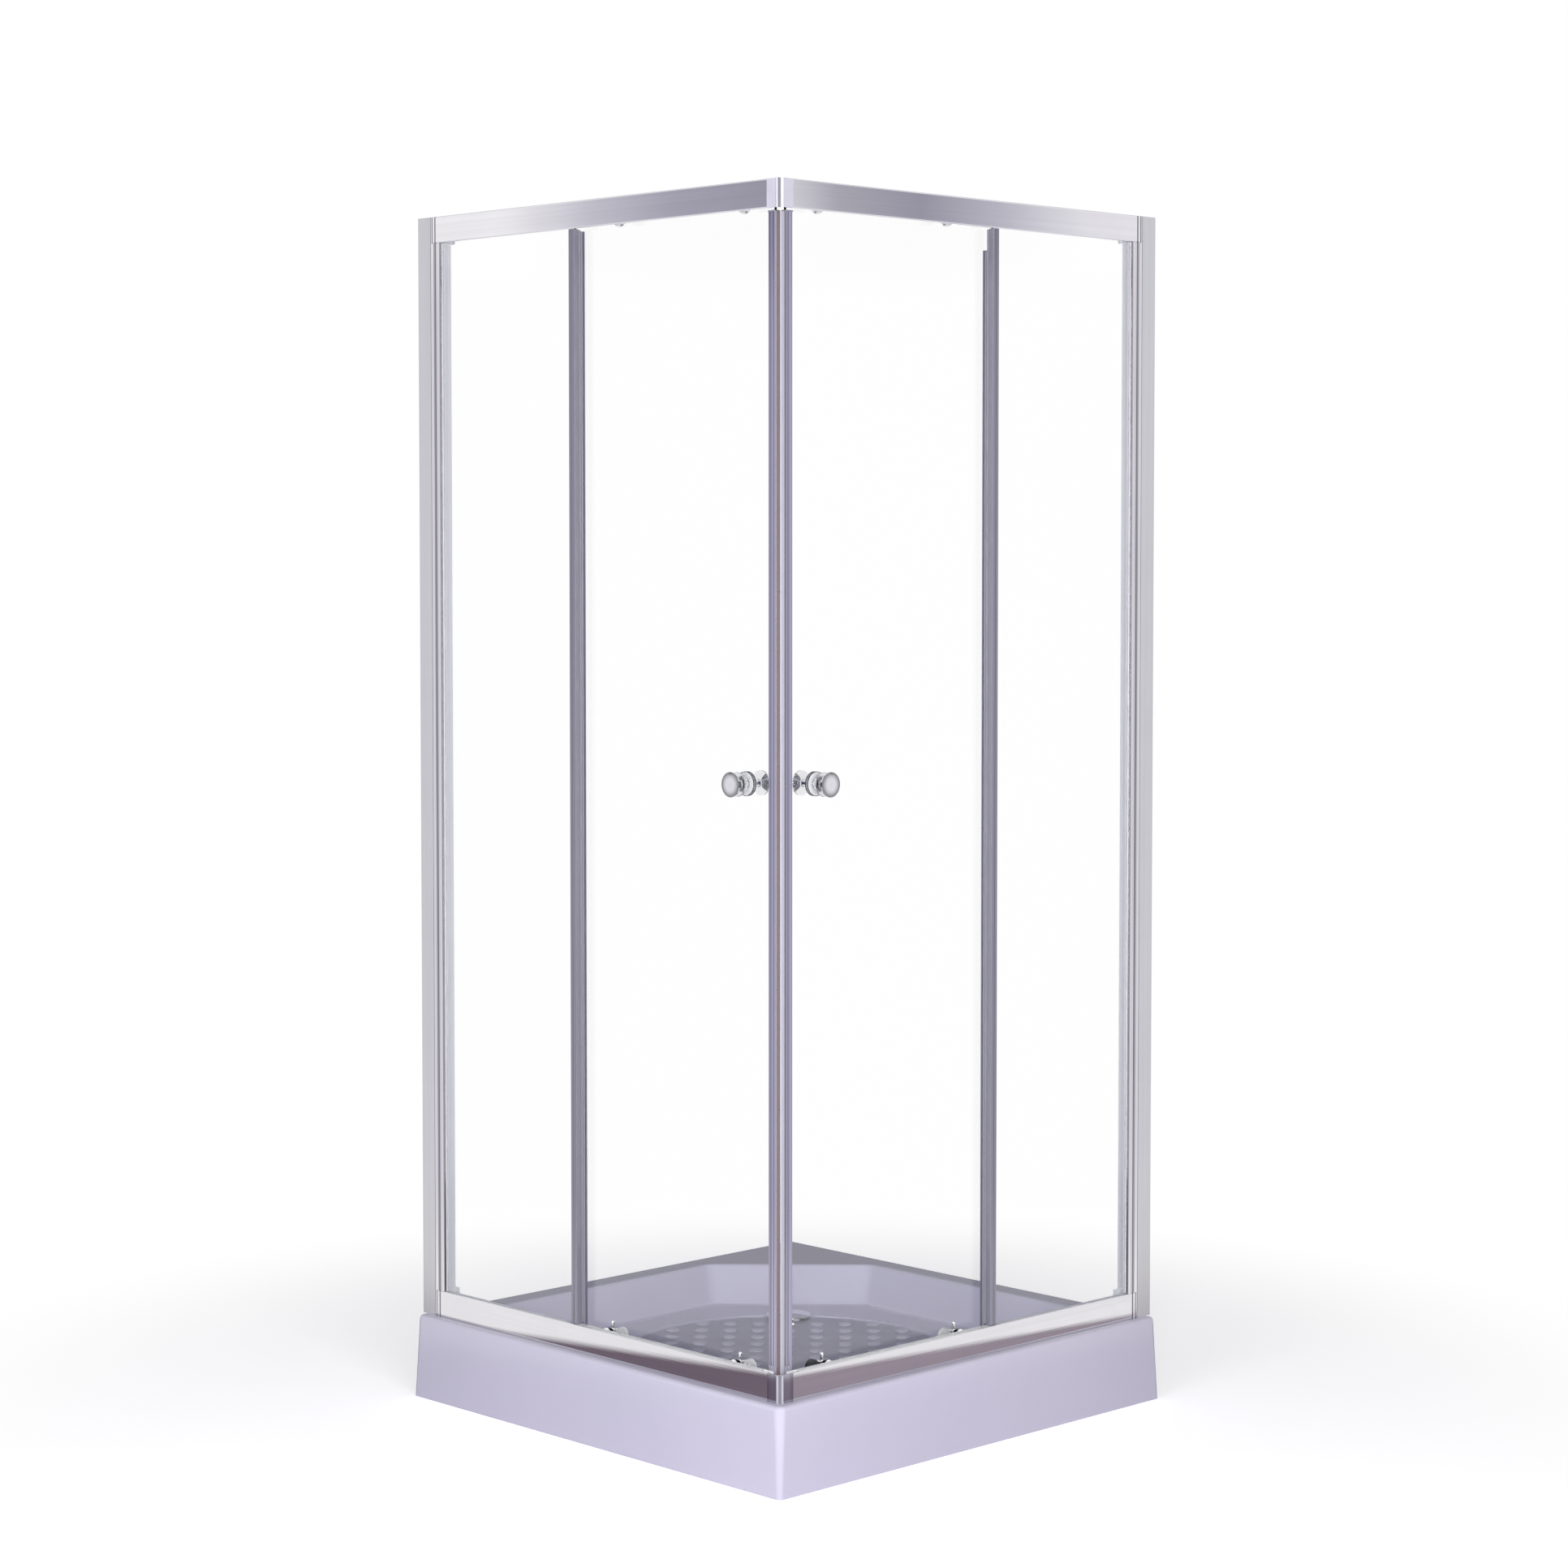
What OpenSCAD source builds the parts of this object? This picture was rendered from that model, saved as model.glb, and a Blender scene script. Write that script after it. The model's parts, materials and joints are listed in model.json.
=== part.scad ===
// Corner shower enclosure: two sliding glass doors that meet at the corner of a shallow square tray.
// Millimetres, +Z up. The origin is the middle of the footprint, on the floor. The two glazed sides face
// -Y (the left one, seen from the corner) and +X (the right one); the room's walls stand at -X and +Y.
// A side is drawn once, in its own axes: X runs along the side from the glazed corner, Y runs inward
// from the tray's outer edge, Z is up. on_left() and on_right() put it in place.

/* [Overall] */
// Length of each side of the square tray at the floor
tray_side = 900; // [740:10:1100]
// Height of the whole enclosure above the floor
total_h = 2000; // [1600:10:2400]
// Height of the tray's rim above the floor
tray_h = 140; // [130:1:180]

/* [Tray] */
// Thickness of the moulded tray shell
shell_t = 4; // [3:0.5:6]
// Depth of the basin below the rim
basin_depth = 70; // [40:1:80]
// Rim width along the two walls
wall_rim = 50; // [40:1:80]
// Rim width inside the glass frame
frame_rim = 9; // [4:1:30]
// Leg of the slanted corner above the drain
basin_chamfer = 208; // [120:1:260]
// Slope of the basin walls, as their run from the rim to the floor
basin_run = 26; // [12:1:40]
// Inward lean of the skirt from the floor to the rim
skirt_lean = 5.5; // [1:0.5:8]
// Radius of the skirt's glazed corner at the floor
skirt_r = 8; // [4:1:30]
// What that radius gains up to the rim
skirt_r_gain = 6; // [0:1:12]
// Radius of the rim's outer edge
rim_round = 7; // [4:0.5:8]
// Depth of the turned-down lip on the two wall sides
wall_lip = 42; // [30:1:60]
// Distance of the drain from the two walls
drain_in = 240; // [215:1:300]
// Distance of the round sunk zone from the basin's walls
zone_in = 68; // [50:1:120]
// Depth of the sunk zone in the basin's floor
zone_depth = 1.2; // [0.6:0.1:1.6]
// Pitch of the grip studs in the sunk zone
stud_pitch = 50; // [40:1:90]
// Radius of a grip stud
stud_r = 11.5; // [6:0.5:14]

/* [Frame] */
// Set-back of the frame from the tray's outer edge
frame_in = 22; // [14:1:40]
// Depth of the rails, across the glass
rail_depth = 44; // [42:0.2:54]
// Height of the top rail
top_rail_h = 44; // [42:1:56]
// Height of the bottom rail
sill_h = 44; // [40:1:50]
// Wall thickness of the aluminium profiles
wall_t = 1.5; // [1.2:0.1:2]
// Width of each wall profile
wall_profile_w = 35; // [28:1:44]
// Width of each side post that holds the fixed glass
side_post_w = 24; // [20:1:30]
// Width of the post on the fixed glass's free edge
mid_post_w = 14; // [11:1:18]
// Length of the end caps that close the rails
end_cap_w = 13; // [9:1:18]
// Length of the corner connectors along each side
corner_w = 28; // [24:1:34]
// Diameter of the screw holes to the building's wall
wall_hole_d = 6.5; // [4.5:0.5:8]
// Height of the lowest wall screw above the tray rim
wall_hole_low = 160; // [80:10:240]

/* [Doors] */
// Thickness of all the glass
glass_t = 5; // [4:0.5:6]
// Width of one door, from its lead profile to its trailing profile
door_w = 472; // [390:1:570]
// Width of the lead profile, at the corner
lead_w = 15.5; // [12:0.5:20]
// Width of the trailing profile
trail_w = 24; // [18:1:30]
// Room between the top rail and the profiles of the left door
left_top_gap = 3; // [2:1:60]
// Room between the top rail and the trailing profile of the right door
right_top_gap = 34; // [4:1:60]
// Height of the knobs above the floor
knob_z = 1083; // [900:1:1200]
// Distance of the knobs from the tray's corner
knob_at = 120; // [100:1:180]
// Radius of the knob discs
knob_r = 19.5; // [14:0.5:24]
// Reach of the outer knob from the glass
knob_reach = 34; // [26:1:40]
// Reach of the inner knob from the glass
inner_reach = 31; // [24:1:40]

/* [Rollers] */
// Outer radius of the rollers
roller_r = 12; // [10:0.5:12.5]
// Depth of the roller groove
groove_depth = 3; // [2:0.5:3.5]
// Width of the rollers
roller_w = 7; // [6:0.5:8]
// Radius of the roller axles
axle_r = 2.5; // [2:0.25:3]
// Distance of the front rollers from the tray's corner
roller_front = 122; // [112:1:180]
// Distance of the rear bottom rollers from the door's trailing edge
roller_back = 102.5; // [80:0.5:160]
// Distance of the rear top rollers from the door's trailing edge
hanger_back = 114.5; // [60:0.5:160]
// Lift of a spring-held bottom roller that frees the door for cleaning
release_lift = 5; // [4:0.5:6]

/* [Waste and feet] */
// Radius of the drain hole
drain_r = 26; // [24:1:30]
// Radius of the domed drain cover
cover_r = 38; // [34:1:42]
// Radius of the outlet spigot
outlet_r = 20; // [16:1:20]
// Radius of the foot pads
pad_r = 22; // [16:1:28]
// Radius of the threaded legs
leg_r = 5; // [4:0.5:6]

/* [Fits] */
// Gap between the two door seals where they meet
seal_gap = 0.4; // [0.2:0.1:1]
// Room round a shaft or screw in its hole
running_fit = 0.05; // [0.02:0.01:0.1]
// Gap between a roller and its track
roller_gap = 0.3; // [0.2:0.1:0.5]

/* [Hidden] */

half = tray_side / 2;
thin = 0.01;
smooth = 64;

// Finishes
tray_colour = [0.84, 0.82, 0.90];
chrome = [0.74, 0.74, 0.80];
satin = [0.72, 0.71, 0.72];
glass_tint = [0.80, 0.90, 0.93, 0.35];
rubber = [0.13, 0.13, 0.14];
clear_seal = [0.86, 0.86, 0.88, 0.8];
steel = [0.62, 0.63, 0.65];
board_colour = [0.70, 0.60, 0.45];
nylon = [0.88, 0.88, 0.86];

// Heights
floor_z = tray_h - basin_depth;
under_z = floor_z - shell_t;
sill_top = tray_h + sill_h;
top_rail_z = total_h - top_rail_h;

// Places across the glass, from the frame's outer face
fixed_at = 6;
door_at = 22;
skin = 2.5;
fixed_in = fixed_at + glass_t;
door_in = door_at + glass_t;
track_at = door_in + 7.5;
track_w = 1.6;
rib_at = fixed_in + 2;
arm_at = door_in + 1;
arm_t = 2;
roller_at = track_at - roller_w / 2;

// Places along a side, from the tray's corner
wall_profile_at = tray_side - wall_profile_w;
side_post_at = wall_profile_at - side_post_w;
rail_end = wall_profile_at - end_cap_w;
corner_end = frame_in + corner_w;
lead_at = frame_in + door_in + skin + 1;
trail_end = lead_at + door_w;
trail_at = trail_end - trail_w;
mid_post_at = trail_at;
glass_grip = rail_end - side_post_at;
door_glass_from = lead_at + 4;
door_glass_to = trail_end - 3;
end_room = 3;
door_travel = rail_end - end_room - trail_end;
roller_rear = trail_end - roller_back;
hanger_rear = trail_end - hanger_back;

// Heights of the door's fittings
groove_r = roller_r - groove_depth;
ledge_z = 10;
top_track_top = 16.7;
hanger_z = top_rail_z + 10;
top_roller_z = top_rail_z + top_track_top + groove_r + roller_gap;
sill_track_top = 26.7;
bottom_roller_z = tray_h + sill_track_top + groove_r + roller_gap;
door_bottom = tray_h + 10;
door_top = top_rail_z + 35;
pin_at = 18;
clamp_at = 26;
clamp_z = bottom_roller_z;

// Drain
drain_x = -half + drain_in;
drain_y = half - drain_in;
recess_depth = 3;
boss_z = under_z - 4;
trap_top = boss_z - 3;

// Support
board_t = 12;
board_z = under_z - board_t;
bar_h = 18;
bar_w = 25;
bar_z = board_z - bar_h;
bar_wall = 1.5;
pad_h = 10;
pad_socket = 4;
leg_far = half - 170;
leg_back = half - 150;
bar_mid_y = (leg_back - leg_far) / 2;

// ---- Placing ----

module on_left() translate([half, -half, 0]) mirror([1, 0, 0]) children();
module on_right() mirror([1, 1, 0]) on_left() children();

// Puts a section (X inward from the frame's outer face, Y up) along the side from one end to the other.
module rail_run(from, to, z) {
  translate([from, frame_in, z]) rotate([90, 0, 90]) linear_extrude(to - from) children();
}

// Puts a plan section (X along the side, Y inward from the frame's outer face) upright.
module post_run(from, z_low, z_high) {
  translate([from, frame_in, z_low]) linear_extrude(z_high - z_low) children();
}

// Turns a part drawn along +Z so that it points out of the side (outward) or into the tray.
module pointing_out(at, across, z) translate([at, frame_in + across, z]) rotate([90, 0, 0]) children();
module pointing_in(at, across, z) translate([at, frame_in + across, z]) rotate([-90, 0, 0]) children();

// ---- Outlines ----

module round_rect(w, h, r) {
  translate([r, 0]) square([w - 2 * r, h]);
  translate([0, r]) square([w, h - 2 * r]);
  for (x = [r, w - r], y = [r, h - r]) translate([x, y]) circle(r, $fn = smooth);
}

module ring(r_out, r_in, h) difference() {
  cylinder(r = r_out, h = h, $fn = smooth);
  translate([0, 0, -1]) cylinder(r = r_in, h = h + 2, $fn = smooth);
}

// A link with two round ends, one above the other.
module link(r, low, high) {
  for (y = [low, high]) translate([0, y]) circle(r, $fn = smooth);
  translate([-r, low]) square([2 * r, high - low]);
}

// ---- Tray ----

// Corners of the basin at a distance inside its rim edge, counter-clockwise from the glazed corner.
function basin_corners(k) = let (
    x0 = -half + wall_rim + k,
    y1 = half - wall_rim - k,
    x1 = half - frame_in - rail_depth - frame_rim - k,
    y0 = -x1,
    leg = basin_chamfer - (2 - sqrt(2)) * k)
  [[x1, y0], [x1, y1], [x0 + leg, y1], [x0, y1 - leg], [x0, y0]];
corner_radii = [60, 60, 25, 25, 60];

module basin_slab(z, inset, shrink = 0) {
  for (i = [0:4]) let (r = corner_radii[i] - shrink)
    translate([basin_corners(inset + r)[i].x, basin_corners(inset + r)[i].y, z])
      cylinder(r = r, h = thin, $fn = 48);
}

// The basin's hollow, grown by t so that it also gives the shell's underside.
module basin_hollow(t, top) hull() {
  basin_slab(top, -t);
  basin_slab(floor_z - t + 8, basin_run - t);
  basin_slab(floor_z - t + 2.5, basin_run - t + 3);
  basin_slab(floor_z - t, basin_run - t + 9);
}

// The rolled edge between rim and basin.
module basin_edge() {
  hull() {
    basin_slab(tray_h - 3.5, 0);
    basin_slab(tray_h - 1, -1.5);
  }
  hull() {
    basin_slab(tray_h - 1, -1.5);
    basin_slab(tray_h + thin, -4);
  }
}

wall_corner_r = 10;
least_r = 1;
skirt_corners = [[1, -1, skirt_r, skirt_r_gain], [1, 1, wall_corner_r, 0],
  [-1, 1, wall_corner_r, 0], [-1, -1, wall_corner_r, 0]];

// The skirt's outline at a height, set in by its lean there and by a further distance.
module skirt_slab(z, inset) {
  share = min(max(z / (tray_h - rim_round), 0), 1);
  for (c = skirt_corners)
    let (r = max(c.z + c[3] * share - inset, least_r), at = half - skirt_lean * share - inset - r)
      translate([c.x * at, c.y * at, z]) cylinder(r = r, h = thin, $fn = 48);
}

module skirt_block() hull() {
  skirt_slab(0, 0);
  for (a = [0:22.5:90])
    skirt_slab(tray_h - thin - rim_round * (1 - sin(a)), rim_round * (1 - cos(a)));
}

module skirt_hollow() hull() {
  skirt_slab(-1, shell_t);
  skirt_slab(tray_h - shell_t - rim_round / 2, shell_t);
  skirt_slab(tray_h - shell_t, shell_t + rim_round / 2);
}

// The wall sides have only a turned-down lip, so what is below it is cut away.
front_leg = 40;
module wall_side_cut() {
  for (turn = [0, 1]) mirror([turn, turn, 0]) translate([-half - 1, -half + front_leg, -1])
    cube([wall_rim / 2, tray_side - front_leg + 1, tray_h - wall_lip + 1]);
}

// The round sunk zone in the basin's floor, and the studs that stand in it.
zone_at = (wall_rim - frame_in - rail_depth - frame_rim) / 2;
zone_r = (tray_side - wall_rim - frame_in - rail_depth - frame_rim) / 2 - basin_run - zone_in;
zone_z = floor_z - zone_depth;
stud_room = 17;

module at_zone() translate([zone_at, -zone_at, zone_z]) children();

// Is a stud at this place, counted from the zone's middle, clear of the zone's edge and of the drain?
function stud_fits(p) = norm(p) <= zone_r - stud_room
  && norm(p + [zone_at - drain_x, -zone_at - drain_y]) >= cover_r + stud_r + 2;

// A grid turned to face the glazed corner, with its rows half a pitch off the middle.
module grip_studs() {
  count = ceil(zone_r / stud_pitch);
  for (i = [-count:count], j = [-count:count])
    let (u = (i + 0.5) * stud_pitch, v = j * stud_pitch, p = [(u + v) / sqrt(2), (v - u) / sqrt(2)])
      if (stud_fits(p)) at_zone() translate([p.x, p.y, -thin]) cylinder(r = stud_r, h = zone_depth, $fn = 24);
}

module tray() color(tray_colour) union() {
  tray_shell();
  grip_studs();
}

module tray_shell() difference() {
  union() {
    difference() {
      skirt_block();
      skirt_hollow();
      wall_side_cut();
    }
    intersection() {
      basin_hollow(shell_t, tray_h - 1);
      translate([-half, -half, 0]) cube([tray_side, tray_side, tray_h - 1]);
    }
    translate([drain_x, drain_y, boss_z]) cylinder(r = cover_r + 4, h = shell_t + 4, $fn = smooth);
  }
  basin_hollow(0, tray_h + 1);
  basin_edge();
  at_zone() cylinder(r = zone_r, h = zone_depth + 1, $fn = 96);
  translate([drain_x, drain_y, floor_z - recess_depth]) cylinder(r = cover_r - 2, h = 20, $fn = smooth);
  translate([drain_x, drain_y, 0]) cylinder(r = drain_r, h = tray_h, $fn = smooth);
}

// ---- Board, bars, legs ----

module tray_board() color(board_colour) difference() {
  translate([0, 0, board_z]) linear_extrude(board_t) polygon(basin_corners(basin_run + 14));
  translate([drain_x, drain_y, 0]) cylinder(r = cover_r + 24, h = tray_h, $fn = smooth);
}

// Each bar: its height along Y, its two ends and where its legs stand.
bars = [
  [-leg_far, -leg_far - 40, leg_far + 40, [-leg_far, leg_far]],
  [bar_mid_y, -leg_far - 40, leg_far + 40, [0]],
  [leg_back, -leg_far + 80, leg_far + 40, [-leg_far + 110, leg_far]]];

module each_leg() for (b = bars, x = b[3]) translate([x, b[0], 0]) children();

module support_bars() color(steel) difference() {
  for (b = bars) translate([b[1], b[0] - bar_w / 2, bar_z]) difference() {
    cube([b[2] - b[1], bar_w, bar_h]);
    translate([-1, bar_wall, bar_wall])
      cube([b[2] - b[1] + 2, bar_w - 2 * bar_wall, bar_h - 2 * bar_wall]);
  }
  each_leg() translate([0, 0, bar_z - 1])
    cylinder(r = leg_r + running_fit, h = bar_h - bar_wall, $fn = smooth);
}

nut_h = 8;
nut_r = 9.8;

module leg_screws() color(steel) each_leg() {
  translate([0, 0, pad_h - pad_socket])
    cylinder(r = leg_r, h = bar_z + bar_h - 2 * bar_wall - pad_h + pad_socket, $fn = smooth);
  translate([0, 0, bar_z - nut_h]) difference() {
    cylinder(r = nut_r, h = nut_h, $fn = 6);
    translate([0, 0, -1]) cylinder(r = leg_r + running_fit, h = nut_h + 2, $fn = smooth);
  }
}

module foot_pads() color(rubber) each_leg() rotate_extrude($fn = smooth) difference() {
  union() {
    square([pad_r, 3]);
    polygon([[0, 3], [pad_r, 3], [pad_r - 4, 6], [leg_r + 5, pad_h], [0, pad_h]]);
  }
  translate([-1, pad_h - pad_socket]) square([leg_r + running_fit + 1, pad_socket + 1]);
}

// ---- Waste ----

throat_r = 19;
flange_pipe_r = drain_r - 2;
flange_pipe_dip = 10;
trap_r = cover_r + 6;
trap_floor = 8;
outlet_z = trap_floor + outlet_r + 1;
outlet_len = half - 30 + drain_x;
trap_wall = 2.5;
neck_proud = 1.5;
nut_from = trap_r + 12;
outlet_nut_h = 14;
outlet_nut_proud = 4;

module at_drain() translate([drain_x, drain_y, 0]) children();

// Half section of the trap's pot: a flat bottom, a sloped heel and a collar at the top.
module pot_half(r, low, high)
  polygon([[0, low], [r - 8, low], [r - 2, low + 5], [r, trap_top - 6], [r, high], [0, high]]);

module waste_trap() color("white") at_drain() difference() {
  union() {
    rotate_extrude($fn = smooth) pot_half(trap_r, trap_floor, trap_top);
    translate([0, 0, outlet_z]) rotate([0, -90, 0]) {
      cylinder(r = outlet_r + neck_proud, h = nut_from + 1, $fn = smooth);
      translate([0, 0, nut_from]) cylinder(r = outlet_r + outlet_nut_proud, h = outlet_nut_h, $fn = 8);
      translate([0, 0, nut_from + 1]) cylinder(r = outlet_r, h = outlet_len - nut_from - 1, $fn = smooth);
    }
  }
  rotate_extrude($fn = smooth) pot_half(trap_r - trap_wall, trap_floor + trap_wall, trap_top - trap_wall);
  translate([0, 0, trap_top - 2 * trap_wall])
    cylinder(r = flange_pipe_r + running_fit, h = 4 * trap_wall, $fn = smooth);
  translate([-trap_r + 6, 0, outlet_z]) rotate([0, -90, 0])
    cylinder(r = outlet_r - trap_wall, h = outlet_len, $fn = smooth);
}

module waste_gasket() color(rubber) at_drain() translate([0, 0, trap_top])
  ring(cover_r - 1, drain_r, boss_z - trap_top);

module waste_flange() color(chrome) at_drain() difference() {
  union() {
    translate([0, 0, floor_z - recess_depth]) cylinder(r = cover_r - 3, h = recess_depth - 0.5, $fn = smooth);
    translate([0, 0, trap_top - flange_pipe_dip])
      cylinder(r = flange_pipe_r, h = floor_z - trap_top + flange_pipe_dip - 2, $fn = smooth);
  }
  cylinder(r = throat_r, h = tray_h, $fn = smooth);
}

// A shallow chrome dome on three fins that drop into the throat.
module waste_cover() color(chrome) at_drain() {
  seat = floor_z - 0.5;
  rim_z = floor_z + 3.5;
  dome_h = 5;
  dome_t = 2;
  dome_r = (cover_r * cover_r + dome_h * dome_h) / (2 * dome_h);
  stem_dip = 14;
  fin_dip = 12;
  fin_t = 2;
  rotate_extrude($fn = smooth) intersection() {
    difference() {
      translate([0, rim_z + dome_t + dome_h - dome_r]) circle(dome_r, $fn = 256);
      translate([0, rim_z + dome_h - dome_r]) circle(dome_r, $fn = 256);
    }
    translate([0, rim_z]) square([cover_r, dome_h + dome_t + 1]);
  }
  translate([0, 0, seat - stem_dip])
    cylinder(r = 5, h = stem_dip + rim_z - seat + dome_h + dome_t / 4, $fn = smooth);
  for (a = [0:120:240]) rotate([0, 0, a]) {
    translate([0, -fin_t / 2, seat - fin_dip]) cube([throat_r - 0.4, fin_t, fin_dip + 1]);
    translate([0, -fin_t / 2, seat]) cube([throat_r + 5, fin_t, rim_z - seat + 3.5]);
  }
}

// ---- Wall profile and side post ----

function wall_screw_heights() = let (low = tray_h + wall_hole_low, high = total_h - wall_hole_low)
  [low, (low + high) / 2, high];
lock_screw_r = 2;
lock_screw_at = wall_profile_at + 14;
lock_screw_up = 60;
tail_gap = 0.6;
tail_len = 23;

module lock_screw_holes(r) for (z = wall_screw_heights())
  pointing_in(lock_screw_at, rail_depth - 8, z + lock_screw_up) cylinder(r = r, h = 20, $fn = smooth);

module wall_profile() color(satin) difference() {
  post_run(wall_profile_at, tray_h, total_h) difference() {
    round_rect(wall_profile_w, rail_depth, 1.2);
    translate([-1, wall_t]) square([wall_profile_w - wall_t + 1, rail_depth - 2 * wall_t]);
    square([1.2, 1.2]);
    translate([0, rail_depth - 1.2]) square([1.2, 1.2]);
  }
  for (z = wall_screw_heights()) translate([tray_side - 2 * wall_t, frame_in + rail_depth / 2, z])
    rotate([0, 90, 0]) cylinder(r = wall_hole_d / 2, h = 3 * wall_t, $fn = smooth);
  lock_screw_holes(lock_screw_r + running_fit);
}

pocket_gap = 2;
post_front_d = rib_at + wall_t;

// The part of the side post in view between the rails: a box with the glass pocket and two beads.
module side_post_front() difference() {
  union() {
    round_rect(side_post_w, post_front_d, 1.5);
    for (x = [side_post_w * 0.35, side_post_w * 0.62]) translate([x, 0.3]) circle(1.1, $fn = smooth);
    translate([side_post_w - 3, 0]) square([3, post_front_d]);
  }
  translate([-1, fixed_at - pocket_gap]) square([glass_grip + 3, glass_t + 2 * pocket_gap]);
  translate([glass_grip + 2 + wall_t, wall_t])
    square([side_post_w - glass_grip - 2 - 3 * wall_t, post_front_d - 2 * wall_t]);
}

// The part that telescopes into the wall profile: a web with two flanges.
module side_post_tail() {
  translate([side_post_w - wall_t, 0]) square([wall_t, rail_depth]);
  for (y = [wall_t + tail_gap, rail_depth - 2 * wall_t - tail_gap])
    translate([side_post_w - wall_t, y]) square([tail_len + wall_t, wall_t]);
}

module side_post() color(chrome) difference() {
  union() {
    post_run(side_post_at, sill_top, top_rail_z) side_post_front();
    post_run(side_post_at, tray_h, total_h) side_post_tail();
  }
  lock_screw_holes(lock_screw_r + running_fit);
}

module frame_screws() color(steel) {
  on_left() side_screws();
  on_right() side_screws();
}

module side_screws() for (z = wall_screw_heights()) {
  pointing_in(lock_screw_at, rail_depth, z + lock_screw_up) {
    translate([0, 0, -8]) cylinder(r = lock_screw_r, h = 9, $fn = smooth);
    difference() {
      cylinder(r1 = 4, r2 = 2.8, h = 2, $fn = smooth);
      for (a = [0, 90]) rotate([0, 0, a]) translate([-2, -0.4, 1.2]) cube([4, 0.8, 2]);
    }
  }
}

// ---- Rails ----

pocket_ribs_low = 24;
rib_t = wall_t - 0.3;
ledge_out = 3;
lip_in = 4;

module top_rail_section() {
  difference() {
    round_rect(rail_depth, top_rail_h, 2);
    translate([wall_t, wall_t]) square([rail_depth - 2 * wall_t, top_rail_h - 2 * wall_t]);
    translate([wall_t, -1]) square([rail_depth, 1 + 2 * wall_t]);
    translate([rail_depth - lip_in, -1]) square([lip_in + 1, 1 + ledge_z]);
  }
  // The slot that takes the fixed glass and its gasket
  for (x = [fixed_at - pocket_gap - rib_t, rib_at])
    translate([x, pocket_ribs_low]) square([rib_t, top_rail_h - pocket_ribs_low - thin]);
  // The ledge and the lip that the top rollers ride on
  translate([track_at - ledge_out, ledge_z]) square([rail_depth - track_at + ledge_out, wall_t]);
  translate([track_at - track_w / 2, ledge_z])
    square([track_w, top_track_top - ledge_z - track_w / 2]);
  translate([track_at, top_track_top - track_w / 2]) circle(track_w / 2, $fn = smooth);
}

sill_pocket = 24;
sill_upstand = 9;

module sill_section() {
  difference() {
    round_rect(rib_at + wall_t, sill_h, 1.2);
    translate([wall_t, wall_t]) square([rib_at - wall_t, sill_pocket - wall_t]);
    translate([wall_t, sill_pocket + wall_t]) square([rib_at - wall_t, sill_h]);
  }
  translate([rib_at, 0]) square([rail_depth - rib_at, wall_t]);
  translate([rail_depth - wall_t, 0]) square([wall_t, sill_upstand]);
  translate([track_at - track_w / 2, 0]) square([track_w, sill_track_top - track_w / 2]);
  translate([track_at, sill_track_top - track_w / 2]) circle(track_w / 2, $fn = smooth);
}

// What is cut from a rail where it meets the corner: square to the connector, then a mitre.
mitre_gap = 0.3;
module mitre_cut() translate([0, 0, -1]) linear_extrude(total_h + 2) polygon([
  [0, 0], [corner_end, 0], [corner_end, corner_end - mitre_gap],
  [corner_end + rail_depth, corner_end + rail_depth - mitre_gap], [0, corner_end + rail_depth]]);

module top_rail() color(chrome) difference() {
  rail_run(frame_in + 1, rail_end, top_rail_z) top_rail_section();
  mitre_cut();
}

module sill_rail() color(chrome) difference() {
  rail_run(frame_in + 1, rail_end, tray_h) sill_section();
  mitre_cut();
}

// Each end cap has a face plate with a groove and a tongue that plugs into the rail.
cap_tongue_len = 10;
cap_tongue_t = 2.2;
cap_groove_w = 1.8;
cap_groove_depth = 1.2;

module end_cap(z, h, tongue_z) {
  plate = wall_profile_at - wall_t - rail_end;
  hollow_at = rib_at + 3;
  difference() {
    rail_run(rail_end, rail_end + plate, z) round_rect(rail_depth, h, wall_t);
    translate([rail_end + plate * 0.4, frame_in - 1, z - 1]) cube([cap_groove_w, 1 + cap_groove_depth, h + 2]);
    translate([rail_end - 1, frame_in + hollow_at, z - 1])
      cube([plate - 2, rail_depth - hollow_at - wall_t, h + 2]);
  }
  translate([rail_end - cap_tongue_len, frame_in + fixed_at + 1, tongue_z])
    cube([cap_tongue_len + 1, glass_t - 2, cap_tongue_t]);
}

module rail_end_caps() color(chrome) for (side = [0, 1]) mirror([side, side, 0]) on_left() {
  end_cap(top_rail_z, top_rail_h, total_h - wall_t - 3);
  end_cap(tray_h, sill_h, tray_h + sill_pocket - 5);
}

// Corner connector: a moulded cover whose corner is cut off between two beads, and a tongue into each rail.
corner_cut = 6.4;
corner_bead = 1.5;
corner_floor = 2;
proud = 0.6;
tongue_len = 22;
tongue_in = 3;
tongue_fit = 0.4;

module corner_plan() {
  from = frame_in - proud;
  translate([from, from]) {
    len = corner_end - from;
    polygon([[corner_cut, 0], [len, 0], [len, len], [0, len], [0, corner_cut]]);
    for (side = [0, 1]) mirror([side, -side])
      translate([corner_cut, corner_bead - proud]) circle(corner_bead, $fn = smooth);
  }
}

module corner_shell(z, h, roof_low, tongue_z, tongue_h) {
  inner = frame_in + wall_t + 0.5;
  difference() {
    translate([0, 0, z]) linear_extrude(h) corner_plan();
    translate([inner, inner, z - 1 + (roof_low ? 1 + corner_floor : 0)]) linear_extrude(h - 1)
      polygon([[corner_cut, 0], [corner_end, 0], [corner_end, corner_end], [0, corner_end], [0, corner_cut]]);
  }
  for (side = [0, 1]) mirror([side, -side, 0])
    translate([inner, frame_in + wall_t + tongue_in, tongue_z])
      cube([corner_end + tongue_len - inner, rib_at - wall_t - tongue_in - tongue_fit, tongue_h]);
}

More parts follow.
